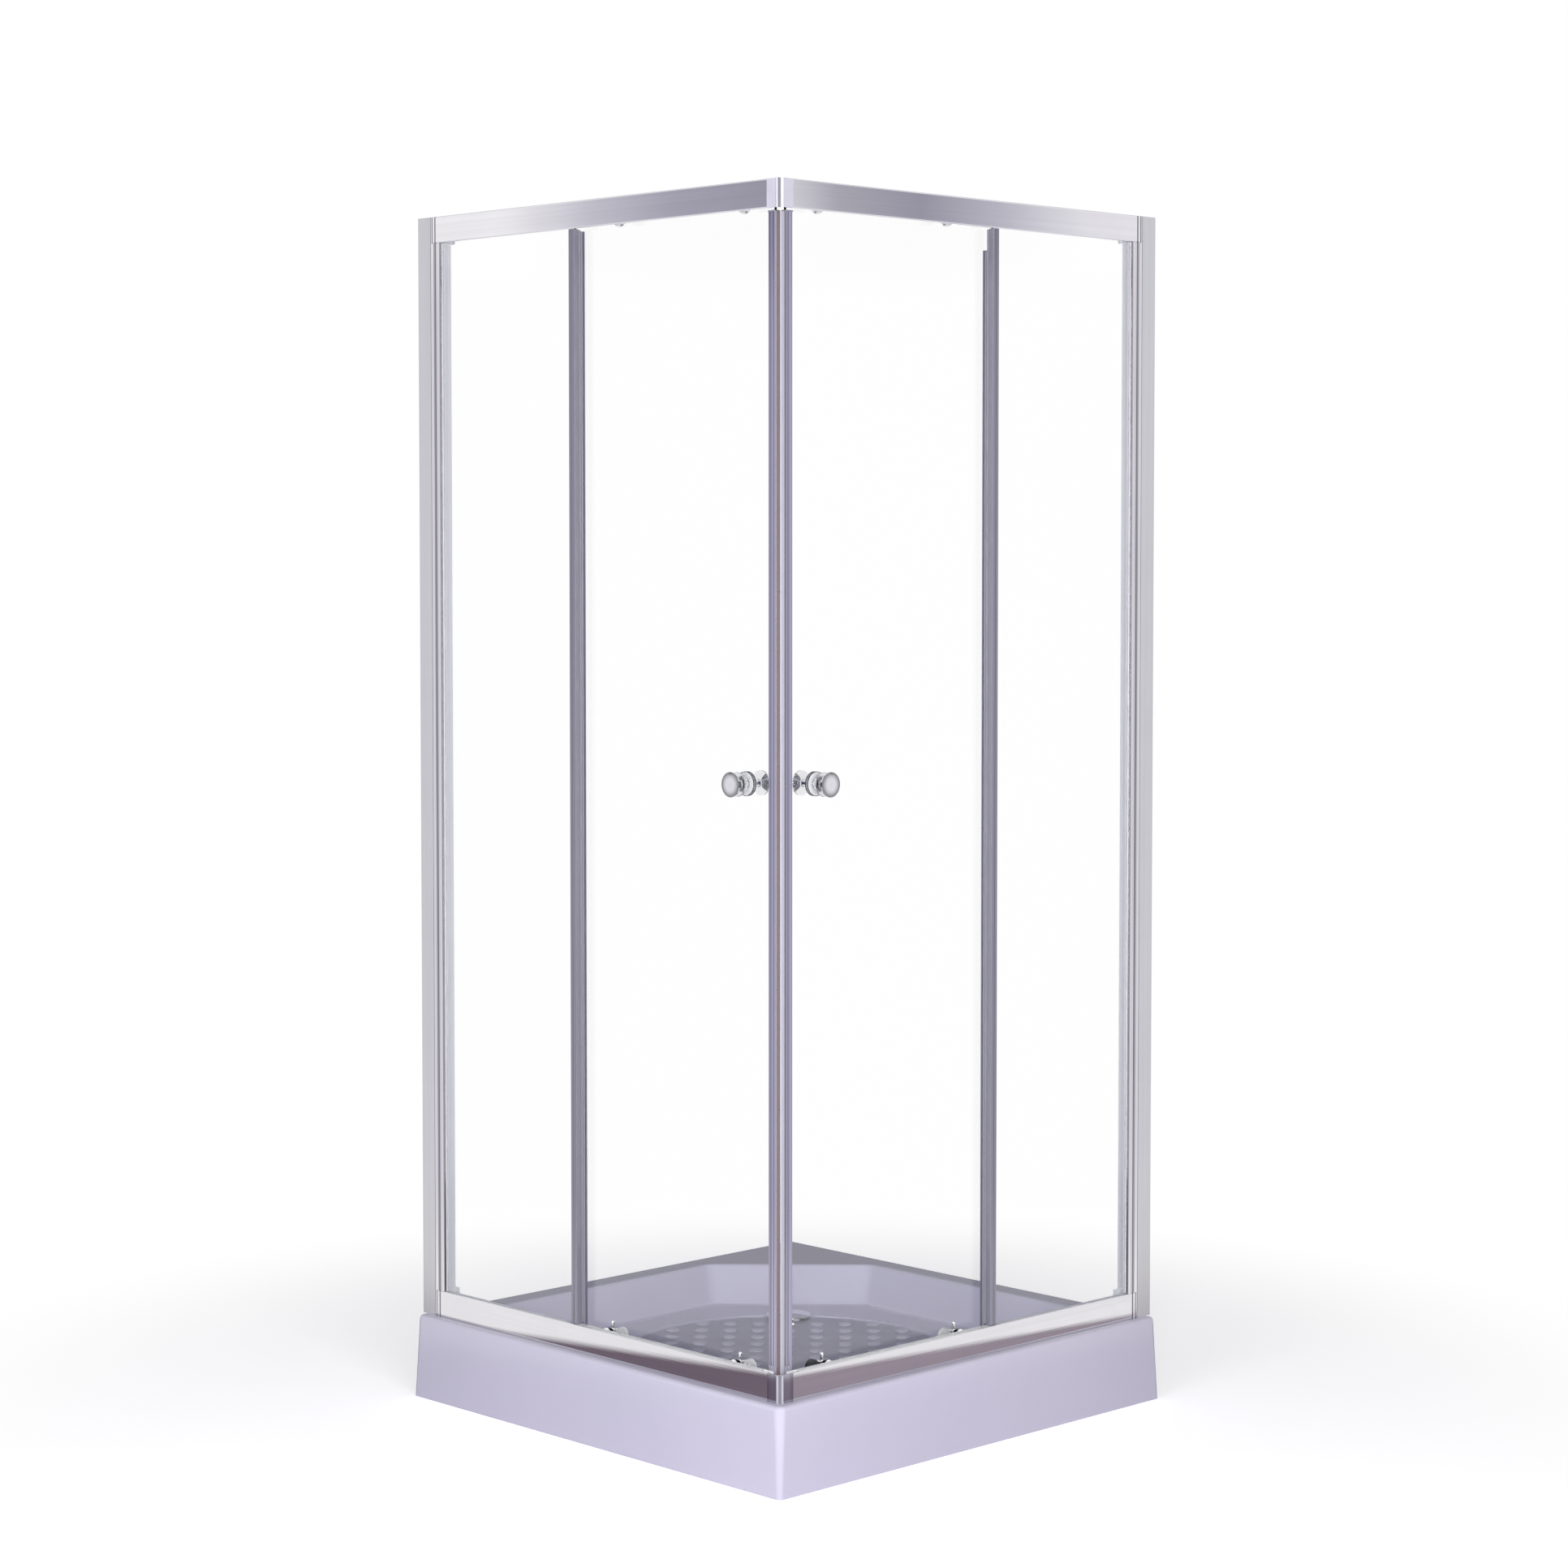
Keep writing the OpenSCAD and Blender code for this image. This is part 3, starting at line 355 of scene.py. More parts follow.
def makeSidePlace():
    # both glazed sides read alike: depth in from the tray's edge, place along the side,
    # place across the corner, and height
    tree, given, made = newGroup("sidePlace", {}, ("Deep", "Along", "Across", "Height"))
    x, y, z = splitVector(tree, objectPoint(tree))
    places = {
        "Deep": maths(tree, "MINIMUM", plus(tree, y, trayHalf), minus(tree, trayHalf, x)),
        "Along": maths(tree, "MINIMUM", x, times(tree, y, -1.0)),
        "Across": plus(tree, x, y),
        "Height": z,
    }
    for name, place in places.items():
        join(tree, place, made.inputs[name])
    return tree


handling = makeHandling(wipedLook)
settled = makeSettled(dustLook)
drawLines = makeDrawLines(dieLineLook)
sidePlace = makeSidePlace()
print("shared effects made")


# materials

trayLook = {
    "colour": (0.60, 0.575, 0.69),
    "shade": (0.565, 0.545, 0.665),
    "cloudSize": 1.6,
    "gripColour": (0.36, 0.35, 0.44),  # matt floor of the sunk standing zone
    "gripShade": 0.9,
    "gripAt": (-0.0125, 0.0125, 0.0),
    "gripRadius": 0.284,
    "gripTop": 0.0692,
    "gripRoughness": 0.30,
    "sandSize": 900,
    "sandLevels": (0.88, 1.08),
    "rimShadeColour": (0.42, 0.41, 0.50),  # painted shade on the ledge round the basin, behind the doors
    "rimFrom": 0.075,
    "rimLow": 0.1375,
    "roughness": 0.14,
    "smearSize": 6.0,
    "smearRoughness": 0.06,
    "dustColour": (0.66, 0.65, 0.72),
    "dustSize": 14.0,
    "dustAmount": 0.10,
    "peelSize": 70,  # faint ripple of a moulded shell
    "peelDepth": 0.4,
    "sandDepth": 0.6,
}


def makeAcrylic(look):
    material, tree, shader = newMaterial("trayAcrylic", {
        "IOR": 1.49, "Coat Weight": 0.25, "Coat Roughness": 0.05})
    point = objectPoint(tree)
    cloud = spread(tree, noise(tree, point, look["cloudSize"]), *noiseCore)
    colour = blendColour(tree, cloud, look["colour"], look["shade"])

    # the sunk standing zone, sanded
    away = addNode(tree, "VectorMath", operation="SUBTRACT")
    away.inputs[1].default_value = look["gripAt"]
    join(tree, point, away.inputs[0])
    x, y, z = splitVector(tree, away.outputs["Vector"])
    inside = insideEdge(tree, distanceOf(tree, x, y), look["gripRadius"], before=0.002, after=0.001)
    low = insideEdge(tree, z, look["gripTop"], before=0.0003, after=0.0001)
    grip = times(tree, inside, low)
    grains = noise(tree, point, look["sandSize"], detail=2, rough=0.6)
    sand = spread(tree, grains, *noiseCore, *look["sandLevels"])
    gritty = blendColour(tree, spread(tree, sand, *look["sandLevels"]),
                         shade(look["gripColour"], look["gripShade"]), look["gripColour"])
    colour = blendColour(tree, grip, colour, gritty)

    # the painted shade on the ledge, and the dust on all of it
    side = placeGroup(tree, sidePlace)
    raised = pastEdge(tree, side.outputs["Height"], look["rimLow"], after=0.001)
    behind = pastEdge(tree, side.outputs["Deep"], look["rimFrom"], after=0.002)
    colour = blendColour(tree, times(tree, raised, behind), colour, look["rimShadeColour"])
    dust = placeGroup(tree, settled, {
        "patch size": look["dustSize"], "amount": look["dustAmount"]})
    join(tree, blendColour(tree, dust.outputs["Mask"], colour, look["dustColour"]),
         shader.inputs["Base Color"])

    marks = placeGroup(tree, handling, {"smear size": look["smearSize"]})
    rough = raiseBy(tree, look["roughness"], (marks.outputs["Smear"], look["smearRoughness"]),
                    (grip, look["gripRoughness"]))
    join(tree, rough, shader.inputs["Roughness"])
    ripple = noise(tree, point, look["peelSize"], detail=2, rough=0.4)
    peel = plus(tree, times(tree, ripple, look["peelDepth"]),
                times(tree, times(tree, sand, grip), look["sandDepth"]))
    bump(tree, shader, peel, strength=0.05, distance=0.001)
    return material


# painted highlight, painted reflection and painted shade tones that the banded finishes share, and
# their tints
bright, polished, ridge, soft, slate, groove = 0.80, 0.96, 0.60, 0.47, 0.36, 0.20
slateTint, clearTint, brownTint = (1.0, 0.985, 1.12), (1.0, 0.985, 1.03), (1.0, 0.78, 0.80)


def paintedLightBands(*paintedBands, tint=slateTint, metal=1):
    # flat bands of painted highlight and shade that run into each other over the gaps: (from, to,
    # level), in millimetres
    return tuple((place / 1000, (*(min(1.0, level * c) for c in tint), metal))
                 for low, high, level in paintedBands for place in (low, high))


def paintedDarkReflections(turns, light, dark, half=0.5, blend=0.4):
    # a light finish with thin painted dark reflections centred on these places, in millimetres
    steps = ((-half - blend, light), (-half, dark), (half, dark), (half + blend, light))
    return tuple(((turn + shift) / 1000, (level, level, level, 1))
                 for turn in turns for shift, level in steps)


railLook = {
    "colour": (0.86, 0.845, 0.875),
    "roughness": 0.008,
    "lineDepth": 0.012,
    "hairline": 0.0,
    "upright": 0.0,
}

sillLook = {
    "colour": (0.80, 0.785, 0.815),
    "roughness": 0.008,
    "lineDepth": 0.012,
    "hairline": 0.0,
    "upright": 0.0,
    "paleFrom": 0.0232,  # painted light: pale inside its channels, where they would fall dark
    "pale": (0.82, 0.82, 0.84),
}

postLook = {
    "colour": (0.32, 0.31, 0.37),
    "roughness": 0.06,
    "lineDepth": 0.05,
    "hairline": 0.08,
    "upright": 1.0,
    "paleFrom": 0.0255,
    "pale": (0.22, 0.215, 0.26),
}

trailLook = {
    "colour": (0.36, 0.35, 0.42),
    "roughness": 0.14,
    "lineDepth": 0.05,
    "hairline": 0.08,
    "upright": 1.0,
    "paleFrom": 0.0,  # slate lacquer all over
    "pale": (0.24, 0.235, 0.285),
}

leadLook = {
    "colour": (0.90, 0.88, 1.0),
    "roughness": 0.06,
    "lineDepth": 0.05,
    "hairline": 0.08,
    "upright": 1.0,
    "bandAlong": "Across",
    # painted highlights and painted dark reflections across the profile
    "paintedBands": paintedLightBands((-26, -24, soft), (-22, -20, slate), (-18, -16.5, ridge),
                       (-15.5, -14, slate), (-12, -10, ridge), (-9, 9, soft), (10.5, 12.5, slate),
                       (13.5, 15, soft), (16, 18, slate), (19, 21, ridge), (22, 24, soft)),
    "plugTop": 0.1905,  # plastic end plug in the profile's foot
    "pale": (0.33, 0.32, 0.385),
}

sidePostLook = {
    "colour": (1.0, 0.99, 1.0),
    "roughness": 0.06,
    "lineDepth": 0.05,
    "hairline": 0.08,
    "upright": 1.0,
    "bandAlong": "Along",
    # painted highlights on the beads and painted shade in the grooves
    "paintedBands": paintedLightBands((-425, -408, bright), (-407, -406, groove), (-405.5, -404.5, soft),
                       (-403.5, -402, groove), (-401, -393.5, bright), (-391.5, -380, slate),
                       tint=clearTint),
    "paleFrom": 0.0265,  # what stands behind the glass edge is plain pale plastic and mill metal
    "pale": (0.86, 0.86, 0.88),
}

endCapLook = {
    "colour": (1.0, 0.99, 1.0),
    "roughness": 0.08,
    "lineDepth": 0.03,
    "hairline": 0.0,
    "upright": 1.0,
    "bandAlong": "Along",
    # painted highlights on the beads and painted shade in the grooves
    "paintedBands": paintedLightBands((-425, -413, bright), (-412.5, -410.5, groove), (-410, -405.5, polished),
                       (-405, -403, groove), (-400, -390, bright), tint=clearTint),
    # painted light: pale further in, where the caps fall into shade
    "paleFrom": 0.0245,
    "pale": (0.86, 0.86, 0.88),
}

satinLook = {
    "colour": (0.74, 0.74, 0.76),
    "roughness": 0.30,
    "lineDepth": 0.12,
    "hairline": 0.08,
    "upright": 1.0,
}

drawnFinish = {
    "streakShade": 0.93,
    "smearShade": 0.90,
    "smearShare": 0.4,
    "finishEdge": 0.0003,  # half the width over which one finish turns into the next
}


def makeDrawnMetal(name, look, finish=drawnFinish):
    # extruded aluminium: fine die lines run along it, and wiping smears dull it
    material, tree, shader = newMaterial(name, {"Metallic": 1.0})
    lines = placeGroup(tree, drawLines, {"upright": look["upright"]})
    marks = placeGroup(tree, handling)
    streaky = blendColour(tree, lines.outputs["Streak"],
                          shade(look["colour"], finish["streakShade"]), look["colour"])
    dulled = times(tree, marks.outputs["Smear"], finish["smearShare"])
    colour = blendColour(tree, dulled, streaky, shade(look["colour"], finish["smearShade"]))
    place = placeGroup(tree, sidePlace)
    edge = finish["finishEdge"]
    if "paintedBands" in look:
        colour = underBands(tree, colour, place.outputs[look["bandAlong"]], look["paintedBands"])
    if "paleFrom" in look:
        behind = pastEdge(tree, place.outputs["Deep"], look["paleFrom"], edge, edge)
        colour = blendColour(tree, behind, colour, look["pale"])
        join(tree, minus(tree, 1.0, behind), shader.inputs["Metallic"])
    if "plugTop" in look:
        above = pastEdge(tree, place.outputs["Height"], look["plugTop"], edge, edge)
        colour = blendColour(tree, above, look["pale"], colour)
        join(tree, above, shader.inputs["Metallic"])
    join(tree, colour, shader.inputs["Base Color"])
    rough = raiseBy(tree, look["roughness"], (lines.outputs["Line"], look["lineDepth"]),
                    (marks.outputs["Hairline"], look["hairline"]))
    join(tree, rough, shader.inputs["Roughness"])
    bump(tree, shader, lines.outputs["Line"], strength=0.03, distance=0.0003)
    return material


# corner connectors, with painted highlight and shade bands: (place across the corner, colour and
# metal)
topConnectorLook = {
    "roughness": 0.16,
    "lid": (0.62, 0.61, 0.66),
    "paintedBands": paintedLightBands((-30, -10, ridge), (-9, -8, soft), (-7, -5, polished), (-4.5, 1, groove),
                       (4, 7, polished), (8.5, 30, ridge), metal=0),
}

bottomConnectorLook = {
    "roughness": 0.07,
    "lid": (0.62, 0.60, 0.64),
    "paintedBands": (paintedLightBands((-30, -26, soft), (-20, -9, ridge))
              + paintedLightBands((-7, -5, soft), (-2.5, 2, groove), (4.5, 7, soft), metal=0)
              + paintedLightBands((8, 20, soft), (24, 30, slate))),
}

castFinish = {
    "smearSize": 30.0,
    "smearShare": 0.25,
    "smearTint": (0.82, 0.81, 0.84),
    "lidSpan": (0.6, 0.9),
    "hairline": 0.06,
    "waveSize": 60,
}


def makeConnector(name, look, finish=castFinish):
    # die-cast corner connector: plated faces, with painted highlights on the beads and painted
    # shade in the groove down the corner
    material, tree, shader = newMaterial(name, {
        "IOR": 1.5, "Coat Weight": 0.3, "Coat Roughness": 0.06})
    place = placeGroup(tree, sidePlace)
    ramp = bandRamp(tree, place.outputs["Across"], look["paintedBands"])
    marks = placeGroup(tree, handling, {"smear size": finish["smearSize"]})
    dulled = times(tree, marks.outputs["Smear"], finish["smearShare"])
    smeared = blendColour(tree, dulled, plainWhite, finish["smearTint"])
    darker = tintColour(tree, ramp.outputs["Color"], smeared)
    lid = facingUp(tree, *finish["lidSpan"])
    join(tree, blendColour(tree, lid, darker, look["lid"]), shader.inputs["Base Color"])
    join(tree, times(tree, ramp.outputs["Alpha"], minus(tree, 1.0, lid)), shader.inputs["Metallic"])
    rough = raiseBy(tree, look["roughness"], (marks.outputs["Hairline"], finish["hairline"]))
    join(tree, rough, shader.inputs["Roughness"])
    wave = noise(tree, objectPoint(tree), finish["waveSize"], detail=2)
    bump(tree, shader, wave, strength=0.03, distance=0.0003)
    return material


chromeLook = {
    "colour": (0.86, 0.86, 0.88),
    "roughness": 0.03,
    "grain": 45.0,
    "spangle": 0.06,
}

zincLook = {
    "colour": (0.52, 0.53, 0.54),
    "roughness": 0.32,
    "grain": 260.0,
    "spangle": 0.22,
}

knobLook = {
    "colour": (0.90, 0.90, 0.92),
    "roughness": 0.04,
    "grain": 45.0,
    "spangle": 0.05,
    # painted dark reflections where its edges gather the room: depth in from the tray's edge
    "paintedBands": paintedDarkReflections((11, 14.5, 21, 25.5, 34, 42), polished, slate),
}

plateFinish = {
    "smearSize": 40.0,
    "hairlineSize": 300.0,
    "smearRoughness": 0.02,
    "spangleRoughness": 0.3,
    "hairline": 0.10,
}


def makePlate(name, look, finish=plateFinish):
    # plated parts: chrome over a buffed casting, or zinc with its fine spangle
    material, tree, shader = newMaterial(name, {"Metallic": 1.0})
    wave = noise(tree, objectPoint(tree), look["grain"])
    marks = placeGroup(tree, handling, {
        "smear size": finish["smearSize"], "hairline size": finish["hairlineSize"]})
    colour = blendColour(tree, spread(tree, wave, *noiseSpan),
                         shade(look["colour"], 1 - look["spangle"]), look["colour"])
    if "paintedBands" in look:
        deep = placeGroup(tree, sidePlace).outputs["Deep"]
        colour = underBands(tree, colour, deep, look["paintedBands"])
    join(tree, colour, shader.inputs["Base Color"])
    smeared = finish["spangleRoughness"] * look["spangle"] + finish["smearRoughness"]
    rough = raiseBy(tree, look["roughness"], (marks.outputs["Smear"], smeared),
                    (marks.outputs["Hairline"], finish["hairline"]))
    join(tree, rough, shader.inputs["Roughness"])
    bump(tree, shader, wave, strength=0.04, distance=0.0003)
    return material


glassLook = {
    "colour": (1.0, 1.0, 1.0),
    "shadow": (0.86, 0.87, 0.89),  # tint of the light that passes a pane
    "bend": 1.42,
    "smearSize": 5.0,
    "smearRoughness": 0.010,
}


def makeGlass(look):
    material, tree, shader = newMaterial("clearGlass", {
        "Transmission Weight": 1.0, "IOR": look["bend"]})
    feed(tree, shader.inputs["Base Color"], look["colour"])
    marks = placeGroup(tree, handling, {"smear size": look["smearSize"]})
    join(tree, times(tree, marks.outputs["Smear"], look["smearRoughness"]),
         shader.inputs["Roughness"])
    clear = addNode(tree, "BsdfTransparent")
    feed(tree, clear.inputs["Color"], look["shadow"])
    passing = eitherRay(tree, addNode(tree, "LightPath"), "Is Shadow Ray", "Is Diffuse Ray")
    join(tree, mixShaders(tree, passing, shader.outputs["BSDF"], clear.outputs["BSDF"]),
         tree.nodes["Material Output"].inputs["Surface"])
    return material


sealLook = {
    "low": (0.72, 0.72, 0.78),
    "high": (0.84, 0.84, 0.88),
    "shine": 0.28,
}

gasketLook = {
    "low": (0.82, 0.81, 0.84),
    "high": (0.93, 0.92, 0.94),
    "shine": 0.36,
}

midSealLook = {
    "low": (0.23, 0.225, 0.27),
    "high": (0.31, 0.305, 0.35),
    "shine": 0.30,
}

magnetSealLook = {
    "low": (0.90, 0.90, 0.92),
    "high": (1.0, 1.0, 1.0),
    "shine": 0.25,
    # painted highlight and shade bands across the seal, with the brown magnet strip showing through
    # the soft edge
    "paintedBands": (paintedLightBands((-12, -9, slate)) + paintedLightBands((-7, -1, groove), tint=brownTint)
              + paintedLightBands((1, 2.5, ridge), (4.5, 8, soft), (9.5, 12, groove))),
}

sealFinish = {
    "cloudSize": 24,
    "shineSize": 120,
    "shineSpread": 0.17,
    "grain": 300,
}


def makeSeal(name, look, finish=sealFinish):
    material, tree, shader = newMaterial(name, {"IOR": 1.45, "Coat Weight": 0.1})
    point = objectPoint(tree)
    cloud = noise(tree, point, finish["cloudSize"])
    colour = blendColour(tree, cloud, look["low"], look["high"])
    if "paintedBands" in look:
        across = placeGroup(tree, sidePlace).outputs["Across"]
        colour = underBands(tree, colour, across, look["paintedBands"])
    join(tree, colour, shader.inputs["Base Color"])
    shine, dull = look["shine"], look["shine"] + finish["shineSpread"]
    join(tree, spread(tree, noise(tree, point, finish["shineSize"]), *noiseSpan, shine, dull),
         shader.inputs["Roughness"])
    bump(tree, shader, noise(tree, point, finish["grain"]), strength=0.08, distance=0.0005)
    return material


washerLook = {
    "face": (0.74, 0.76, 0.78),
    "faceShade": 0.9,
    # painted shade round the washer's rim
    "edge": (0.05, 0.055, 0.06),
    "at": (0.33, 1.083),  # knob axis: along the side, and height
    "paintedRimFrom": 0.0178,
    "cloudSize": 90,
    "shineSize": 200,
    "roughness": (0.2, 0.35),
    "grain": 400,
}


def makeWasher(look):
    # clear soft washer under each knob, with a painted dark rim where its edge gathers the light
    material, tree, shader = newMaterial("clearWasher", {"IOR": 1.45})
    point = objectPoint(tree)
    place = placeGroup(tree, sidePlace)
    along = minus(tree, place.outputs["Along"], look["at"][0])
    height = minus(tree, place.outputs["Height"], look["at"][1])
    rim = pastEdge(tree, distanceOf(tree, along, height), look["paintedRimFrom"], after=0.0004)
    cloud = blendColour(tree, noise(tree, point, look["cloudSize"]),
                        shade(look["face"], look["faceShade"]), look["face"])
    join(tree, blendColour(tree, rim, cloud, look["edge"]), shader.inputs["Base Color"])
    shine = noise(tree, point, look["shineSize"])
    join(tree, spread(tree, shine, *noiseSpan, *look["roughness"]), shader.inputs["Roughness"])
    bump(tree, shader, noise(tree, point, look["grain"]), strength=0.06, distance=0.0003)
    return material


rubberLook = {
    "colour": (0.014, 0.014, 0.017),
    "speck": (0.04, 0.04, 0.045),
    "speckSize": 400,
    "speckSpan": (0.45, 0.75),
    "dust": (0.15, 0.14, 0.14),
    "dustAmount": 0.3,
    "roughness": (0.55, 0.75),
    "grain": 500,
}


def makeRubber(look):
    material, tree, shader = newMaterial("blackRubber", {"IOR": 1.5})
    point = objectPoint(tree)
    dust = placeGroup(tree, settled, {"amount": look["dustAmount"]})
    speck = noise(tree, point, look["speckSize"], detail=4)
    speck = spread(tree, speck, *look["speckSpan"])
    colour = blendColour(tree, speck, look["colour"], look["speck"])
    join(tree, blendColour(tree, dust.outputs["Mask"], colour, look["dust"]),
         shader.inputs["Base Color"])
    join(tree, spread(tree, speck, 0, 1, *look["roughness"]), shader.inputs["Roughness"])
    bump(tree, shader, noise(tree, point, look["grain"]), strength=0.15, distance=0.0004)
    return material


mouldedLooks = {
    "whiteNylon": {"colour": (0.80, 0.80, 0.78), "roughness": 0.38, "grain": 160},
    "blackNylon": {"colour": (0.045, 0.045, 0.05), "roughness": 0.42, "grain": 160},
    "whitePolypropylene": {"colour": (0.78, 0.78, 0.78), "roughness": 0.45, "grain": 120},
    "slatePlastic": {"colour": (0.36, 0.35, 0.42), "roughness": 0.34, "grain": 220},
    "palePlastic": {"colour": (0.66, 0.66, 0.68), "roughness": 0.36, "grain": 220},
    "coverPlastic": {"colour": (0.80, 0.82, 0.82), "roughness": 0.34, "grain": 220},
}

mouldedFinish = {
    "cloudSize": 14,
    "cloudShade": 0.88,
    "glossier": 0.08,
    "duller": 0.1,
}


def makeMoulded(name, look, finish=mouldedFinish):
    material, tree, shader = newMaterial(name, {"IOR": 1.46})
    point = objectPoint(tree)
    cloud = spread(tree, noise(tree, point, finish["cloudSize"], detail=4), *noiseSpan)
    cloudy = shade(look["colour"], finish["cloudShade"])
    join(tree, blendColour(tree, cloud, cloudy, look["colour"]), shader.inputs["Base Color"])
    texture = noise(tree, point, look["grain"])
    glossy, dull = look["roughness"] - finish["glossier"], look["roughness"] + finish["duller"]
    join(tree, spread(tree, texture, *noiseSpan, glossy, dull), shader.inputs["Roughness"])
    bump(tree, shader, texture, strength=0.12, distance=0.0005)
    return material


chipboardLook = {
    "dark": (0.30, 0.19, 0.10),
    "light": (0.55, 0.41, 0.25),
    "chipSize": 130,
    "chipStretch": (1, 0.45, 1),
    "roughness": (0.6, 0.85),
}


def makeChipboard(look):
    material, tree, shader = newMaterial("chipboard", {"IOR": 1.45})
    chips = addNode(tree, "TexVoronoi")
    setInputs(chips, {"Scale": look["chipSize"]})
    join(tree, stretchPoint(tree, objectPoint(tree), look["chipStretch"]), chips.inputs["Vector"])
    tone = addNode(tree, "SeparateColor")
    join(tree, chips.outputs["Color"], tone.inputs["Color"])
    join(tree, blendColour(tree, tone.outputs["Red"], look["dark"], look["light"]),
         shader.inputs["Base Color"])
    join(tree, spread(tree, tone.outputs["Green"], 0, 1, *look["roughness"]),
         shader.inputs["Roughness"])
    bump(tree, shader, chips.outputs["Distance"], strength=0.3, distance=0.0008)
    return material


moulded = {name: makeMoulded(name, look) for name, look in mouldedLooks.items()}
zincPlate = makePlate("zincPlate", zincLook)

# finish of each material slot
slotFinish = {
    "acrylic": makeAcrylic(trayLook),
    "bright": makeDrawnMetal("slatePost", postLook),
    "satin": makeDrawnMetal("satinProfile", satinLook),
    "chrome": makePlate("chromePlate", chromeLook),
    "steel": zincPlate,
    "glass": makeGlass(glassLook),
    "seal": makeSeal("softSeal", sealLook),
    "rubber": makeRubber(rubberLook),
    "nylon": moulded["whiteNylon"],
    "trap": moulded["whitePolypropylene"],
    "board": makeChipboard(chipboardLook),
}

# nodes whose finish differs from their slot's
nodeFinish = {
    "right_bottom_roller_front": moulded["blackNylon"],
    "rail_end_caps": makeDrawnMetal("endCapMetal", endCapLook),
    "top_corner": makeConnector("topConnector", topConnectorLook),
    "bottom_corner": makeConnector("bottomConnector", bottomConnectorLook),
    "mid_seals": makeSeal("lipSeal", midSealLook),
    "glazing_gaskets": makeSeal("glazingGasket", gasketLook),
}

# and those that stand on both sides
knobPlate = makePlate("knobPlate", knobLook)
pairFinish = {
    "_lead_profile": makeDrawnMetal("leadMetal", leadLook),
    "_magnet_seal": makeSeal("magnetSeal", magnetSealLook),
    "_knob_washers": makeWasher(washerLook),
    "_top_rail": makeDrawnMetal("polishedRail", railLook),
    "_sill_rail": makeDrawnMetal("polishedSill", sillLook),
    "_trail_profile": makeDrawnMetal("slateTrail", trailLook),
    "_knob_outer": knobPlate,
    "_knob_inner": knobPlate,
    "_side_post": makeDrawnMetal("sidePostMetal", sidePostLook),
}
for side in sides:
    nodeFinish.update({side + part: material for part, material in pairFinish.items()})
print("materials made:", len(bpy.data.materials))


def paintNodes():
    for part in frame["record"]["subparts"]:
        shape = nodes[part["node"]]
        shape.data.materials.clear()
        shape.data.materials.append(nodeFinish.get(part["node"], slotFinish[part["material_slot"]]))


paintNodes()
print("nodes painted")


# from a side's own measures (along it from the corner, in depth, up) to the frame's
sideMatrix = {
    "left": Matrix(((-1, 0, 0, trayHalf), (0, 1, 0, -trayHalf), (0, 0, 1, 0), (0, 0, 0, 1))),
    "right": Matrix(((0, -1, 0, trayHalf), (1, 0, 0, -trayHalf), (0, 0, 1, 0), (0, 0, 0, 1))),
}
creaseAngle = 35  # degrees past which an edge stays sharp
sameHeight = 1e-6
sameCorner = 1e-5


def softenEdges(form, edges, width):
    bmesh.ops.bevel(form, geom=edges, offset=width, offset_type="OFFSET", segments=2,
                    profile=0.5, affect="EDGES", material=-1)


def finishPiece(form, name, body, material):
    bmesh.ops.remove_doubles(form, verts=form.verts, dist=sameCorner)
    bmesh.ops.recalc_face_normals(form, faces=form.faces)
    mesh = bpy.data.meshes.new(name)
    form.to_mesh(mesh)
    form.free()
    for face in mesh.polygons:
        face.use_smooth = True
    mesh.set_sharp_from_angle(angle=math.radians(creaseAngle))
    mesh.materials.append(material)
    piece = addObject(name, mesh)
    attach(piece, body)
    return piece


leadCap = {
    "along": (0.0527, 0.0679),
    "deep": (0.0408, 0.0513),
    "from": 1.9530,
    "height": 0.0022,
    "round": 0.0007,
}

wallCap = {
    "along": (0.8655, 0.8982),
    "deep": (0.0238, 0.0642),
    "from": 1.9960,
    "height": 0.0036,
    "round": 0.0008,
}


def makePlug(name, body, side, look, material):
    # block with a rounded brim, set into or on the end of a profile
    form = bmesh.new()
    bmesh.ops.create_cube(form, size=1)
    near, far = look["along"]
    low, high = look["deep"]
    middle = look["from"] + look["height"] / 2
    bmesh.ops.scale(form, verts=form.verts, vec=(far - near, high - low, look["height"]))
    bmesh.ops.translate(form, verts=form.verts, vec=((near + far) / 2, (low + high) / 2, middle))
    brim = [edge for edge in form.edges if all(end.co.z > middle for end in edge.verts)]
    softenEdges(form, brim, look["round"])
    bmesh.ops.transform(form, matrix=sideMatrix[side], verts=form.verts)
    finishPiece(form, name, body, material)


for side in sides:
    makePlug(side + "_lead_cap", side + "_door", side, leadCap, moulded["slatePlastic"])
    makePlug(side + "_wall_cap", "enclosure", side, wallCap, moulded["palePlastic"])
print("profile caps made")


screwedLeg = {
    "places": ((-0.280, -0.280), (0.280, -0.280), (0.0, 0.010), (-0.170, 0.300), (0.280, 0.300)),
    "from": 0.006,
    "top": 0.051,
    "radius": 0.005,
    "core": 0.0042,
    "pitch": 0.0015,
    "threadFrom": 0.0105,
    "threadTo": 0.0495,
    "turnSteps": 28,
    "nutSides": 6,
    "nutRadius": 0.0097,
    "nutFrom": 0.028,
    "nutTo": 0.036,
    "nutEdge": 0.0009,
}


def spinOutline(form, outline, steps):
    # turn an outline of (radius, height) once round the upright axis
    ring = [form.verts.new((radius, 0, height)) for radius, height in outline]
    edges = [form.edges.new(pair) for pair in zip(ring, ring[1:])]
    bmesh.ops.spin(form, geom=ring + edges, cent=(0, 0, 0), axis=(0, 0, 1), dvec=(0, 0, 0),
                   angle=2 * math.pi, steps=steps, use_merge=True)


